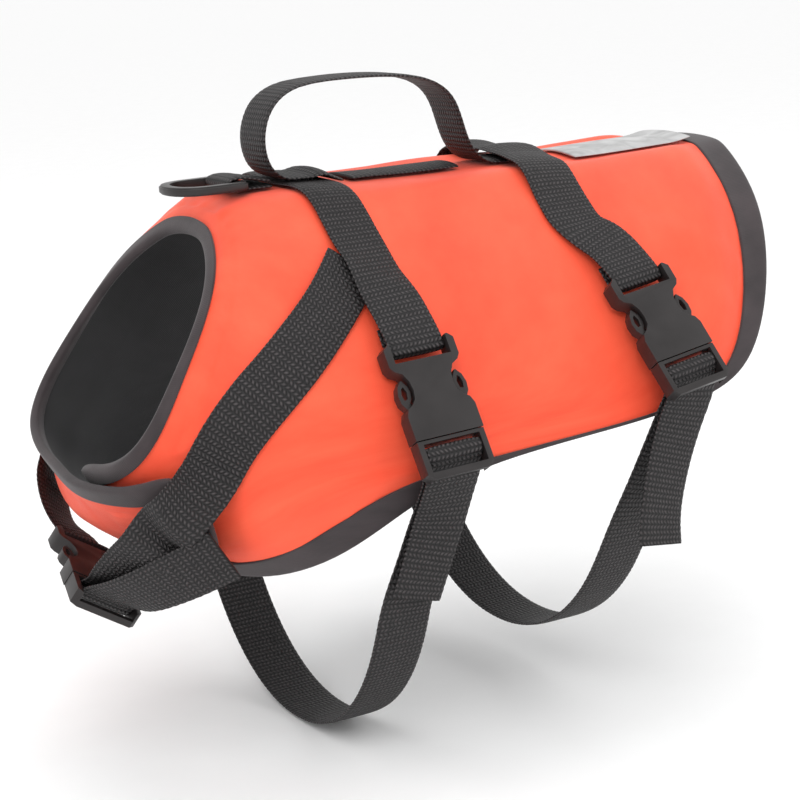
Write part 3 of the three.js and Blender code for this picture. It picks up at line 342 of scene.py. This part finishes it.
class CutCloth:
    """The outer and inner face of a flat cloth solid of the frame, each read as a grid of points.

    The solid is a sheet with thin walls round it. Its triangles are joined into four-cornered
    cells that go on straight from one to the next, and the cells are walked from a corner.
    """

    SAME_WAY = 1.0   # radians by which a cell that is split the same way as the last one is preferred

    def __init__(self, node: str) -> None:
        """Reads a node.

        Args:
            node: the name of the CAD node.
        """
        mesh = bmesh.new()
        mesh.from_mesh(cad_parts[node].data)
        bmesh.ops.remove_doubles(mesh, verts=mesh.verts[:], dist=1e-5)
        mesh.verts.ensure_lookup_table()
        self.spots = [v.co.copy() for v in mesh.verts]
        self.cells = self._join(mesh)
        self.sides: dict[frozenset, list[tuple]] = {}
        self.near: dict[int, set[int]] = {}
        for cell in self.cells:
            for k in range(4):
                one, two = cell[k], cell[(k + 1) % 4]
                self.sides.setdefault(frozenset((one, two)), []).append(cell)
                self.near.setdefault(one, set()).add(two)
                self.near.setdefault(two, set()).add(one)
        mesh.free()
        corners = [v for v, beside in self.near.items() if len(beside) == 3]
        if len(corners) != 8:
            raise ValueError(f"{node} isn't one flat cloth: it has {len(corners)} corners")
        start = min(corners, key=lambda v: tuple(self.spots[v]))
        under = min((v for v in self.near[start] if v in corners),
                    key=lambda v: (self.spots[v] - self.spots[start]).length)
        one, two = (v for v in self.near[start] if v != under)
        one_under = next(v for v in self.near[under] if v != start and v in self.near[one])
        two_under = next(v for v in self.near[under] if v != start and v in self.near[two])
        self.faces = (self._grid(start, one, two), self._grid(under, one_under, two_under))

    @staticmethod
    def _lean(side: tuple, far: tuple, ahead: Vector) -> float:
        """How far a cell's two long sides turn from the way ahead, in radians."""
        return sum((b - a).angle(ahead, math.pi) for a, b in zip(side, far))

    @staticmethod
    def _skew(corners: tuple) -> float:
        """How far a cell's worst corner is from a right angle, in radians."""
        worst = 0.0
        for k in range(4):
            before, here, after = corners[k - 1].co, corners[k].co, corners[(k + 1) % 4].co
            worst = max(worst, abs((before - here).angle(after - here, 0.0) - math.pi / 2))
        return worst

    def _join(self, mesh: bmesh.types.BMesh) -> list[tuple]:
        """Joins triangles into cells, the straightest next cell first.

        Args:
            mesh: the solid's merged triangles.

        Returns:
            The four corners of each cell, in order round it.
        """
        used = set()
        partner = {}
        queue = []
        count = 0

        def tip(face: bmesh.types.BMFace, edge: bmesh.types.BMEdge) -> bmesh.types.BMVert:
            """The corner of a triangle that lies off an edge."""
            return next(v for v in face.verts if v not in edge.verts)

        def round_edge(edge: bmesh.types.BMEdge) -> tuple:
            """The corners of the cell that an edge runs across."""
            first, second = edge.link_faces
            return (edge.verts[0], tip(first, edge), edge.verts[1], tip(second, edge))

        seed = min(mesh.edges, key=lambda e: self._skew(round_edge(e)))

        def take(corners: tuple, pair: tuple) -> None:
            """Keeps a cell and queues the cells that could follow it over its free sides."""
            nonlocal count
            used.update(pair)
            partner[pair[0]], partner[pair[1]] = pair[1], pair[0]
            slant_ends = (corners[0], corners[2])
            for k in range(4):
                p, q, q_far, p_far = (corners[(k + m) % 4] for m in range(4))
                side = mesh.edges.get((p, q))
                face = next((f for f in side.link_faces if f not in used), None)
                if face is None:
                    continue
                line = (q.co - p.co).normalized()
                out = (p.co - p_far.co + q.co - q_far.co) / 2
                t = tip(face, side)
                over = t.co - p.co
                over = (over - line * over.dot(line)).normalized()
                level = out.dot(line)
                ahead = line * level + over * math.sqrt(max(0.0, out.length_squared - level ** 2))
                for stay, turn in ((p, q), (q, p)):
                    slant = mesh.edges.get((stay, t))
                    beyond = next((f for f in slant.link_faces if f is not face), None)
                    if beyond is None or beyond in used:
                        continue
                    w = tip(beyond, slant)
                    corners_next = (stay, turn, t, w)
                    score = self._lean((stay.co, turn.co), (w.co, t.co), ahead)
                    score += self._skew(corners_next)
                    if stay not in slant_ends:
                        score -= self.SAME_WAY
                    count += 1
                    heapq.heappush(queue, (score, count, corners_next, (face, beyond)))

        take(round_edge(seed), tuple(seed.link_faces))
        while queue:
            _, _, corners, pair = heapq.heappop(queue)
            if pair[0] not in used and pair[1] not in used:
                take(corners, pair)
        self._mend([f for f in mesh.faces if f not in partner], partner)
        cells = []
        for face, other in partner.items():
            edge = next(e for e in face.edges if other in e.link_faces)
            if edge.link_faces[0] is face:
                cells.append(tuple(v.index for v in round_edge(edge)))
        return cells

    @staticmethod
    def _mend(loose: list[bmesh.types.BMFace], partner: dict) -> None:
        """Joins the triangles that are left over, by changing the fewest cells between them.

        Args:
            loose: triangles in no cell.
            partner: the triangle that each triangle is joined to, changed in place.
        """
        while loose:
            start = loose.pop()
            came = {start: None}
            queue = [start]
            end = None
            for face in queue:
                for edge in face.edges:
                    beside = next(f for f in edge.link_faces if f is not face)
                    if beside in loose and beside not in partner:
                        end = beside
                        break
                    after = partner.get(beside)
                    if after is not None and after not in came and beside is not partner.get(face):
                        came[after] = (face, beside)
                        queue.append(after)
                if end is not None:
                    break
            if end is None:
                raise ValueError("a triangle of the cloth has no partner")
            loose.remove(end)
            partner[face], partner[end] = end, face
            while came[face] is not None:
                face, middle = came[face]
                partner[face], partner[middle] = middle, face

    def _line(self, start: int, second: int) -> list[int]:
        """Walks straight on from a corner to the next corner."""
        line = [start, second]
        while len(self.near[line[-1]]) != 3:
            if len(line) > len(self.spots):
                raise ValueError("a row of the cloth has no end")
            before, here = line[-2:]
            held = self.sides[frozenset((before, here))]
            line.append(next(v for v in self.near[here] if v != before
                             and not any(v in cell for cell in held)))
        return line

    def _grid(self, start: int, over: int, down: int) -> np.ndarray:
        """Walks one face of the cloth row by row.

        Args:
            start: a corner.
            over: the point beside it along the first row.
            down: the point beside it along the first column.

        Returns:
            Points by row and column.
        """
        rows = [self._line(start, over)]
        for first in self._line(start, down)[1:]:
            row = [first]
            for here, after in zip(rows[-1], rows[-1][1:]):
                cell = next(c for c in self.sides[frozenset((here, after))] if row[-1] in c)
                row.append(next(v for v in cell if v not in (here, after, row[-1])))
            rows.append(row)
        return np.array([[tuple(self.spots[v]) for v in row] for row in rows])


@dataclass
class Layer:
    """A surface read from a grid of points, smooth between them."""

    points: np.ndarray

    def at(self, rows: np.ndarray, columns: np.ndarray) -> np.ndarray:
        """Reads the surface.

        Args:
            rows: places along the grid's first axis, in cells.
            columns: places along its second axis, in cells.

        Returns:
            Points by row and column.
        """
        down = cubic_weights(self.points.shape[0], rows)
        over = cubic_weights(self.points.shape[1], columns)
        return np.einsum("ri,ijk,cj->rck", down, self.points, over)


def face_normals(points: np.ndarray, closed: bool = False) -> np.ndarray:
    """Normals of a surface given by row and column.

    Args:
        points: the surface's points.
        closed: whether the last row runs on into the first.

    Returns:
        One vector of length one for each point.
    """
    if closed:
        along = np.roll(points, -1, axis=0) - np.roll(points, 1, axis=0)
    else:
        along = np.gradient(points, axis=0)
    return unit(np.cross(along, np.gradient(points, axis=1)))


def run_lengths(points: np.ndarray) -> np.ndarray:
    """Lengths along a line of points from its start, in the points' unit."""
    steps = np.linalg.norm(np.diff(points, axis=0), axis=1)
    return np.concatenate([[0.0], np.cumsum(steps)])


def double_cloth(name: str, upper: np.ndarray, lower: np.ndarray, across: np.ndarray,
                 along: np.ndarray, closed: bool = False) -> bpy.types.Object:
    """Makes one closed piece of cloth between two faces.

    Args:
        name: the piece's name.
        upper: outer face, by row and column.
        lower: inner face, by row and column.
        across: place of each column across the cloth, in metres.
        along: place of each row along the cloth, in metres.
        closed: whether the last row meets the first.

    Returns:
        The new object, with its UV map in metres.
    """
    rows, columns = upper.shape[:2]
    mesh = bmesh.new()
    bmesh.ops.create_grid(mesh, x_segments=columns - 1, y_segments=rows - 1, size=0.5)
    spot = mesh.verts.layers.int.new("spot")
    for vert in mesh.verts:
        row = round((vert.co.y + 0.5) * (rows - 1))
        vert[spot] = row * columns + round((vert.co.x + 0.5) * (columns - 1))
    raised = bmesh.ops.extrude_face_region(mesh, geom=mesh.faces[:], use_keep_orig=True)["geom"]
    above = {v for v in raised if isinstance(v, bmesh.types.BMVert)}
    high, low = upper.reshape(-1, 3), lower.reshape(-1, 3)
    for vert in mesh.verts:
        vert.co = (high if vert in above else low)[vert[spot]]
    cloth = mesh.loops.layers.uv.new("cloth")
    for face in mesh.faces:
        face.smooth = True
        for loop in face.loops:
            row, column = divmod(loop.vert[spot], columns)
            loop[cloth].uv = (across[column], along[row])
    if closed:
        ends = [f for f in mesh.faces if len({v[spot] // columns for v in f.verts}) == 1]
        bmesh.ops.delete(mesh, geom=ends, context="FACES_ONLY")
        bmesh.ops.remove_doubles(mesh, verts=mesh.verts[:], dist=1e-6)
    bmesh.ops.recalc_face_normals(mesh, faces=mesh.faces[:])
    return finished(name, mesh)


def finished(name: str, mesh: bmesh.types.BMesh) -> bpy.types.Object:
    """Turns a finished mesh into an object at the origin.

    Args:
        name: the object's name.
        mesh: the mesh, which is freed.

    Returns:
        The new object.
    """
    data = bpy.data.meshes.new(name)
    mesh.to_mesh(data)
    mesh.free()
    piece = bpy.data.objects.new(name, data)
    bpy.context.scene.collection.objects.link(piece)
    return piece


def dress(piece: bpy.types.Object, material: bpy.types.Material, slot: Slot, *nodes: str) -> bpy.types.Object:
    """Gives a piece its material and its place in the frame.

    Args:
        piece: the finished piece.
        material: its material.
        slot: the record's slot for the piece; not used.
        nodes: the CAD nodes that it stands for.

    Returns:
        The same piece.
    """
    piece.data.materials.clear()
    piece.data.materials.append(material)
    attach(piece, "root")
    if nodes:
        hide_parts(*nodes)
    LOG.info("%s: %d faces", piece.name, len(piece.data.polygons))
    return piece


def wavy(point: np.ndarray, length: float, seed: float = 0.0) -> float:
    """Smooth noise from about -1 to 1 at a point, with waves of about the given length in metres."""
    return noise.noise(Vector(point) / length + Vector((seed, -seed, 0.5 * seed)))


@dataclass(frozen=True)
class Crease:
    """A soft trough or ridge in the outer cloth, from one point to another, in mm.

    A depth above zero is a trough, below zero a ridge.
    """

    start: tuple[float, float, float]
    end: tuple[float, float, float]
    width: float
    depth: float


CREASES = (
    Crease((112, -60, -19), (158, -80, -46), 4.0, 1.3),
    Crease((118, -66, -26), (162, -86, -56), 6.0, -0.9),
    Crease((118, -86, -43), (150, -93, -63), 5.0, 0.8),
    Crease((-80, 10, -3), (-92, 6, -12), 3.0, 1.8),
    Crease((-78, 2, -2), (-92, -2, -11), 2.6, -1.3),
    Crease((-79, -9, -3), (-91, -12, -11), 3.0, 1.9),
    Crease((-78, -17, -3), (-90, -22, -12), 3.0, -1.4),
    Crease((-79, -25, -5), (-90, -29, -14), 2.8, 1.8),
    Crease((-74, 22, -4), (-88, 26, -14), 3.0, 1.6),
    Crease((-55, -62, -28), (-88, -86, -60), 7.0, 0.7),
    Crease((-18, -70, -33), (-8, -98, -75), 8.0, 0.6),
    Crease((60, -74, -30), (66, -104, -78), 8.0, 0.6),
    Crease((112, 60, -19), (158, 80, -46), 4.5, 1.2),
    Crease((118, 86, -43), (150, 93, -63), 5.0, 0.8),
    Crease((-55, 62, -28), (-88, 86, -60), 7.0, 0.7),
    Crease((-18, 70, -33), (-8, 98, -75), 8.0, 0.6),
    Crease((20, 84, -50), (66, 104, -78), 8.0, 0.7),
)


@dataclass
class Garment:
    """The jacket's cloth: outer panels over foam, lining, edge binding and its stitches."""

    shell_rows: int = 130
    shell_columns: int = 300
    lining_rows: int = 70
    lining_columns: int = 170
    binding_wall: float = 1.1 * MM
    binding_gap: float = 0.7 * MM
    tuck: float = 0.6 * MM          # how far the panels sink under the binding
    stitch_inset: float = 0.72      # share of the binding's width from its outer edge
    stitch_pitch: float = 3.4 * MM
    shell: CutCloth = field(init=False)
    lining: CutCloth = field(init=False)

    def __post_init__(self) -> None:
        """Reads the two cloths of the frame and lays them the same way."""
        self.shell = CutCloth("outer_shell")
        self.lining = CutCloth("lining")
        self.outer, self.foam_back = self._ordered(self.shell)
        self.face_in, self.face_off = self._ordered(self.lining)

    @staticmethod
    def _ordered(cloth: CutCloth) -> tuple[np.ndarray, np.ndarray]:
        """The face away from the wearer first, rows from the neck and columns from the near side."""
        one, other = cloth.faces
        middle = one[one.shape[0] // 2, one.shape[1] // 2]
        beyond = other[one.shape[0] // 2, one.shape[1] // 2]
        if middle[2] < beyond[2]:
            one, other = other, one
        if one.shape[0] > one.shape[1]:
            one, other = one.transpose(1, 0, 2), other.transpose(1, 0, 2)
        if one[0, one.shape[1] // 2, 0] > one[-1, one.shape[1] // 2, 0]:
            one, other = one[::-1], other[::-1]
        if one[one.shape[0] // 2, 0, 1] > one[one.shape[0] // 2, -1, 1]:
            one, other = one[:, ::-1], other[:, ::-1]
        return one, other

    @staticmethod
    def _rim_reach(points: np.ndarray) -> np.ndarray:
        """Distance of each point of a surface to its nearest rim, in metres."""
        rows, columns = points.shape[:2]
        rim = np.concatenate([points[0], points[-1], points[:, 0], points[:, -1]])[::2]
        flat = points.reshape(-1, 3)
        nearest = np.empty(len(flat))
        for k in range(0, len(flat), 4000):
            gaps = flat[k:k + 4000, None, :] - rim[None]
            nearest[k:k + 4000] = np.sqrt((gaps ** 2).sum(-1)).min(1)
        return nearest.reshape(rows, columns)

    def _relief(self, points: np.ndarray, reach: np.ndarray) -> np.ndarray:
        """Height of the creases, puckers and soft unevenness of the outer cloth.

        Args:
            points: the smooth surface.
            reach: distance of each point to the rim.

        Returns:
            Height along the normal for each point, in metres.
        """
        height = np.zeros(points.shape[:2])
        for crease in CREASES:
            start, end = np.array(crease.start) * MM, np.array(crease.end) * MM
            run = end - start
            share = np.clip(((points - start) @ run) / (run @ run), 0, 1)
            off = np.linalg.norm(points - (start + share[..., None] * run), axis=-1)
            fade = np.sin(np.pi * np.clip(0.12 + 0.88 * share, 0, 1)) ** 0.6
            height -= crease.depth * MM * fade * np.exp(-(off / (crease.width * MM)) ** 2)
        height *= np.clip((reach - 9 * MM) / (7 * MM), 0, 1)
        height -= self.tuck * (1 - np.clip((reach - 11.5 * MM) / (2.5 * MM), 0, 1))
        inner = np.clip((reach - 12 * MM) / (10 * MM), 0, 1)
        for i in range(points.shape[0]):
            for j in range(points.shape[1]):
                point = points[i, j]
                soft = 0.75 * wavy(point, 0.055, 3.1) + 0.3 * wavy(point, 0.019, 7.7)
                pucker = 0.55 * wavy(point, 0.0085, 1.3) * math.exp(-max(0.0, reach[i, j] - 0.012) / 0.007)
                height[i, j] += MM * (soft * inner[i, j] + pucker * (reach[i, j] > 0.011))
        return height

    def panels(self, material: bpy.types.Material) -> bpy.types.Object:
        """Builds the outer panels over their foam.

        Args:
            material: the coated cloth.

        Returns:
            The finished piece.
        """
        rows = np.linspace(0, self.outer.shape[0] - 1, self.shell_rows)
        columns = np.linspace(0, self.outer.shape[1] - 1, self.shell_columns)
        outer, back = Layer(self.outer).at(rows, columns), Layer(self.foam_back).at(rows, columns)
        normals = face_normals(outer)
        if (normals * (outer - back)).sum() < 0:
            normals = -normals
        outer = outer + normals * self._relief(outer, self._rim_reach(outer))[..., None]
        across = run_lengths(outer[len(rows) // 2])
        along = run_lengths(outer[:, len(columns) // 2])
        piece = dress(double_cloth("outer_panels", outer, back, across, along), material,
                      Slot.SHELL, "outer_shell")
        return piece

    def inside(self, material: bpy.types.Material) -> bpy.types.Object:
        """Builds the lining.

        Args:
            material: the lining cloth.

        Returns:
            The finished piece.
        """
        rows = np.linspace(0, self.face_in.shape[0] - 1, self.lining_rows)
        columns = np.linspace(0, self.face_in.shape[1] - 1, self.lining_columns)
        top, under = Layer(self.face_in).at(rows, columns), Layer(self.face_off).at(rows, columns)
        across = run_lengths(top[len(rows) // 2])
        along = run_lengths(top[:, len(columns) // 2])
        piece = dress(double_cloth("lining_cloth", top, under, across, along), material,
                      Slot.LINING, "lining")
        return piece

    def _edge_run(self, steps: int) -> tuple[np.ndarray, np.ndarray]:
        """Places round the cloth's rim in grid cells, and the places a binding's width further in.

        Args:
            steps: samples for each cell.

        Returns:
            Rim places and inner places, each a row and a column.
        """
        last_row, last_column = self.outer.shape[0] - 1, self.outer.shape[1] - 1
        rim, inner = [], []
        corners = ((0, 0), (0, last_column), (last_row, last_column), (last_row, 0))
        for k, (row, column) in enumerate(corners):
            to_row, to_column = corners[(k + 1) % 4]
            count = abs(to_row - row) + abs(to_column - column)
            for step in range(count * steps):
                share = step / (count * steps)
                at = (row + (to_row - row) * share, column + (to_column - column) * share)
                rim.append(at)
                inner.append((min(last_row - 1, max(1, at[0])), min(last_column - 1, max(1, at[1]))))
        return np.array(rim), np.array(inner)

    def _spots(self, grid: np.ndarray, places: np.ndarray) -> np.ndarray:
        """Points of a smooth surface at single places, each a row and a column."""
        down = cubic_weights(grid.shape[0], places[:, 0])
        over = cubic_weights(grid.shape[1], places[:, 1])
        return np.einsum("ni,ijk,nj->nk", down, grid, over)

    def binding(self, material: bpy.types.Material) -> tuple[bpy.types.Object, np.ndarray, np.ndarray]:
        """Builds the tape folded round the whole edge.

        Args:
            material: the binding tape.

        Returns:
            The finished piece, and the outer and the inner stitch line with their normals.
        """
        rim, inner = self._edge_run(8)
        tops = [self._spots(self.outer, rim + (inner - rim) * s) for s in (1, 0.66, 0.33, 0)]
        lows = [self._spots(self.face_off, rim + (inner - rim) * s) for s in (0, 0.33, 0.66, 1)]
        for _ in range(3):
            for line in (*tops, *lows):
                line[:] = 0.5 * line + 0.25 * (np.roll(line, 1, axis=0) + np.roll(line, -1, axis=0))
        away = unit(tops[3] - tops[1])
        up = unit(tops[3] - lows[0])
        gap = self.binding_gap
        middle = 0.5 * (tops[3] + lows[0])
        half = 0.5 * np.linalg.norm(tops[3] - lows[0], axis=1, keepdims=True) + gap
        nose = [middle + away * (gap + half * 0.9 * math.cos(a)) + up * half * math.sin(a)
                for a in np.radians((60, 25, -25, -60))]
        skin = [tops[0] + up * gap, tops[1] + up * gap, tops[2] + up * gap, tops[3] + up * gap, *nose,
                lows[0] - up * gap, lows[1] - up * gap, lows[2] - up * gap, lows[3] - up * gap]
        control = np.stack(skin, axis=1)
        columns = np.linspace(0, control.shape[1] - 1, 40)
        smooth_skin = np.einsum("rjk,cj->rck", control, cubic_weights(control.shape[1], columns))
        looped = np.concatenate([smooth_skin, smooth_skin[:1]])
        normals = face_normals(smooth_skin, closed=True)
        normals = np.concatenate([normals, normals[:1]])
        if (normals[0, 0] * up[0]).sum() < 0:
            normals = -normals
        outer = looped + normals * self.binding_wall
        ripple = np.array([[wavy(p, 0.006, 5.0) for p in row] for row in looped[:-1]])
        ripple = np.concatenate([ripple, ripple[:1]])
        outer = outer + normals * (0.12 * MM * ripple)[..., None]
        along = run_lengths(looped[:, 19])
        across = run_lengths(looped[0])
        piece = dress(double_cloth("binding_tape", outer, looped, across, along, closed=True),
                      material, Slot.BINDING, "edge_binding")
        lines = []
        for place in (self.stitch_inset * 8, 39 - self.stitch_inset * 8):
            k = int(round(place))
            lines.append((outer[:-1, k], normals[:-1, k]))
        return piece, lines[0], lines[1]

    def stitches(self, lines: tuple, material: bpy.types.Material) -> bpy.types.Object:
        """Builds the lock stitches that hold the binding.

        Args:
            lines: stitch lines, each its points and its normals.
            material: the thread.

        Returns:
            The finished piece.
        """
        mesh = bmesh.new()
        for points, normals in lines:
            sew(mesh, np.concatenate([points, points[:1]]), np.concatenate([normals, normals[:1]]),
                self.stitch_pitch)
        return dress(finished("binding_stitches", mesh), material, Slot.BINDING)


def sew(mesh: bmesh.types.BMesh, points: np.ndarray, normals: np.ndarray, pitch: float,
        thread: float = 0.55 * MM, share: float = 0.72) -> None:
    """Adds a run of stitches to a mesh.

    Args:
        mesh: the mesh that takes them.
        points: the line that they follow, on the cloth's surface.
        normals: the cloth's normals along it.
        pitch: from one stitch to the next, in metres.
        thread: thickness of the thread.
        share: share of the pitch that a stitch fills.
    """
    lengths = run_lengths(points)
    count = max(1, int(lengths[-1] / pitch))
    for k in range(count):
        at = (k + 0.5) * lengths[-1] / count
        spot = np.array([np.interp(at, lengths, points[:, c]) for c in range(3)])
        ahead = np.array([np.interp(at + 0.3 * pitch, lengths, points[:, c]) for c in range(3)])
        behind = np.array([np.interp(at - 0.3 * pitch, lengths, points[:, c]) for c in range(3)])
        normal = np.array([np.interp(at, lengths, normals[:, c]) for c in range(3)])
        travel = Vector(ahead - behind).normalized()
        up = Vector(normal)
        side = travel.cross(up).normalized()
        up = side.cross(travel)
        turn = Matrix((travel, side, up)).transposed().to_4x4()
        stretch = Matrix.Diagonal((share * pitch / 2, thread / 2, thread / 2, 1))
        place = Matrix.Translation(Vector(spot) + up * thread * 0.12)
        bmesh.ops.create_icosphere(mesh, subdivisions=1, radius=1, matrix=place @ turn @ stretch)
    for face in mesh.faces:
        face.smooth = True


@dataclass
class Webbing:
    """One strap of webbing, laid along the middle of its CAD solid."""

    node: str
    name: str
    wall: float = 1.7 * MM
    step: float = 1.1 * MM
    columns: int = 15
    scallop: float = 0.22 * MM
    row: float = 2.25 * MM

    def build(self, material: bpy.types.Material, slot: Slot = Slot.WEBBING) -> bpy.types.Object:
        """Builds the strap.

        Args:
            material: the webbing's finish.
            slot: the record's slot, passed on to dress.

        Returns:
            The finished piece.
        """
        top, low = CutCloth(self.node).faces
        if top.shape[0] < top.shape[1]:
            top, low = top.transpose(1, 0, 2), low.transpose(1, 0, 2)
        middle = 0.5 * (top + low)
        length = run_lengths(middle[:, top.shape[1] // 2])[-1]
        rows = np.linspace(0, top.shape[0] - 1, max(12, int(length / self.step)))
        angle = np.linspace(-0.5 * math.pi, 0.5 * math.pi, self.columns)
        spread = np.sin(angle)
        columns = (spread + 1) / 2 * (top.shape[1] - 1)
        sheet = Layer(middle).at(rows, columns)
        up = unit(Layer(top).at(rows, columns) - Layer(low).at(rows, columns))
        along = run_lengths(sheet[:, self.columns // 2])
        across = run_lengths(sheet[len(rows) // 2])
        bulge = 0.5 * self.wall * (1 - 0.72 * np.abs(spread) ** 7)
        edge = unit(sheet[:, -1] - sheet[:, 0])
        beat = self.scallop * np.abs(np.sin(np.pi * along / self.row))
        push = (np.abs(spread) ** 9 * np.sign(spread))[None, :, None] * beat[:, None, None]
        sheet = sheet + edge[:, None, :] * push
        weave = 0.1 * MM * (np.abs(np.sin(np.pi * along / self.row)) - 0.5)[:, None]
        rise = (bulge[None, :] + weave)[..., None]
        piece = double_cloth(self.name, sheet + up * rise, sheet - up * rise, across, along)
        dress(piece, material, slot, self.node)
        self.width = float(across[-1])
        self.length = float(along[-1])
        return piece


@dataclass
class MouldedPiece:
    """A moulded part: its CAD solid with every edge rounded."""

    node: str
    name: str
    rounding: float = 0.8 * MM
    segments: int = 3

    def build(self, material: bpy.types.Material) -> bpy.types.Object:
        """Builds the piece.

        Args:
            material: the plastic.

        Returns:
            The finished piece.
        """
        mesh = bmesh.new()
        mesh.from_mesh(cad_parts[self.node].data)
        bmesh.ops.remove_doubles(mesh, verts=mesh.verts[:], dist=1e-5)
        bmesh.ops.dissolve_limit(mesh, angle_limit=math.radians(2), verts=mesh.verts[:],
                                 edges=mesh.edges[:])
        sharp = [e for e in mesh.edges if e.calc_face_angle(0.0) > math.radians(35)]
        bmesh.ops.bevel(mesh, geom=sharp, offset=self.rounding, segments=self.segments, profile=0.5,
                        affect="EDGES", clamp_overlap=True, material=-1)
        for face in mesh.faces:
            face.smooth = True
        piece = finished(self.name, mesh)
        return dress(piece, material, Slot.PLASTIC, self.node)


@dataclass
class Studio:
    """Pale floor, soft lights and the camera at the photograph's angle."""

    place: tuple[float, float, float] = (-0.4236, -0.8099, 0.1157)
    right: tuple[float, float, float] = (0.8709, -0.4874, -0.0611)
    up: tuple[float, float, float] = (0.1652, 0.1735, 0.9708)
    look: tuple[float, float, float] = (0.4627, 0.8557, -0.2317)
    lens: float = 90.81
    sensor: float = 36.0
    floor_size: float = 40.0

    def camera(self) -> None:
        """Sets the camera."""
        data = bpy.data.cameras.new("camera")
        data.lens, data.sensor_width = self.lens, self.sensor
        data.clip_start, data.clip_end = 0.02, 100.0
        camera = bpy.data.objects.new("camera", data)
        turn = Matrix((self.right, self.up, tuple(-x for x in self.look))).transposed().to_4x4()
        camera.matrix_world = Matrix.Translation(self.place) @ turn
        bpy.context.scene.collection.objects.link(camera)
        bpy.context.scene.camera = camera

    def lamp(self, name: str, place: tuple, aim: tuple, size: float, power: float) -> None:
        """Adds one soft square light.

        Args:
            name: the light's name.
            place: where it hangs, in metres.
            aim: the point that it faces.
            size: length of its side in metres.
            power: its power in watts.
        """
        data = bpy.data.lights.new(name, "AREA")
        data.size, data.energy = size, power
        lamp = bpy.data.objects.new(name, data)
        lamp.location = place
        lamp.rotation_euler = (Vector(aim) - Vector(place)).to_track_quat("-Z", "Y").to_euler()
        bpy.context.scene.collection.objects.link(lamp)

    def lights(self) -> None:
        """Hangs the lights and sets the pale surroundings."""
        self.lamp("key", (-0.7, -1.0, 1.0), (0, 0, -0.08), 0.9, 8)
        self.lamp("top", (0.3, 0.1, 1.3), (0, 0, -0.05), 1.2, 5)
        self.lamp("fill", (1.2, -0.9, 0.2), (0, 0, -0.1), 1.2, 2)
        world = bpy.data.worlds.new("studio")
        world.use_nodes = True
        world.node_tree.nodes["Background"].inputs[0].default_value = (1, 1, 1, 1)
        world.node_tree.nodes["Background"].inputs[1].default_value = 0.98
        bpy.context.scene.world = world
        bpy.context.scene.view_settings.view_transform = "Standard"

    def floor(self) -> None:
        """Lays the pale floor under the jacket."""
        mesh = bmesh.new()
        bmesh.ops.create_grid(mesh, x_segments=1, y_segments=1, size=self.floor_size / 2)
        bmesh.ops.translate(mesh, verts=mesh.verts[:], vec=(0, 0, CAD_BOX[0][2] - 0.001))
        floor = finished("studio_floor", mesh)
        material = bpy.data.materials.new("pale_paper")
        material.use_nodes = True
        tree = material.node_tree
        place = add_node(tree, "TexCoord").outputs["Object"]
        grain = add_node(tree, "TexNoise", {"Vector": place, "Scale": 40.0})
        colour = add_node(tree, "Mix", {0: grain.outputs[0], 6: linear("#FBFBFB"),
                                        7: linear("#FFFFFF")}, data_type="RGBA")
        shader = tree.nodes["Principled BSDF"]
        tree.links.new(colour.outputs[2], shader.inputs["Base Color"])
        shader.inputs["Roughness"].default_value = 0.9
        floor.data.materials.append(material)


def main() -> None:
    """Builds the studio and every piece of the jacket, in order."""
    logging.basicConfig(level=logging.INFO, format="%(name)s %(message)s")
    studio = Studio()
    studio.camera()
    studio.floor()
    studio.lights()

    taffeta = CoatedTaffeta("coated_polyester_taffeta", dark="#F24A2A", light="#FA5C3B",
                            roughness=0.62, sheen=0.12, bump=0.25).material()
    # The light colour of the webbing is the painted glint on its floats.
    webbing = CoarseWebbing("polypropylene_webbing", dark="#0B090A", light="#454041",
                            roughness=0.6, bump=0.9, bump_depth=0.0007).material()
    tape = PlainCloth("nylon_binding_tape", dark="#2A2325", light="#3A3133", roughness=0.7,
                      sheen=0.15).material()
    satin = PlainCloth("nylon_lining", dark="#09080A", light="#151316", roughness=0.6,
                       sheen=0.1).material()
    # The thread's light colour is a painted glint.
    thread = PlainThread("polyester_thread", dark="#171415", light="#2C2829").material()
    acetal = MouldedAcetal("black_acetal", dark="#1E1B1B", light="#2A2626", roughness=0.38,
                           bump=0.12, bump_depth=0.00006).material()
    # The reflective cloth's light colour is the painted light on its crease ridges.
    beads = GlassBeadCloth("glass_bead_cloth", dark="#9C9C9C", light="#BEBEBE", roughness=0.55,
                           bump=0.25).material()

    garment = Garment()
    garment.panels(taffeta)
    garment.inside(satin)
    _, outer_line, inner_line = garment.binding(tape)
    garment.stitches((outer_line, inner_line), thread)

    for node in ("spine_strip", "leash_tab", "chest_strap_near", "chest_strap_far",
                 "girth_strap_front", "girth_strap_rear", "handle"):
        Webbing(node, f"webbing_{node}").build(webbing)
    Webbing("reflective_patch", "reflective_cloth", wall=1.0 * MM, scallop=0.0,
            columns=40).build(beads, Slot.REFLECTIVE)

    for place in ("front", "rear", "chest"):
        for half in ("socket", "plug"):
            MouldedPiece(f"{place}_buckle_{half}", f"{place}_{half}").build(acetal)
    MouldedPiece("leash_ring", "leash_d_ring", rounding=0.7 * MM).build(acetal)


@dataclass(frozen=True)
class PlainThread(Finish):
    """Polyester sewing thread: two fine plies with a slight gloss, and a painted glint along the plies."""

    ply: float = 0.6   # mm from one turn of the plies to the next

    def material(self) -> bpy.types.Material:
        """Builds the material on object coordinates."""
        material, tree = self.start()
        place = add_node(tree, "TexCoord").outputs["Object"]
        plies_and_glint = add_node(tree, "TexWave", {"Vector": place, "Scale": 1 / (self.ply * MM * 20),
                                           "Distortion": 2.0})
        # The light colour along the ply wave is a painted glint.
        colour = add_node(tree, "Mix", {0: plies_and_glint.outputs["Fac"], 6: linear(self.dark),
                                        7: linear(self.light)}, data_type="RGBA")
        self.surface(tree, colour.outputs[2], plies_and_glint.outputs["Fac"], self.roughness)
        return material


if __name__ == "__main__":
    main()
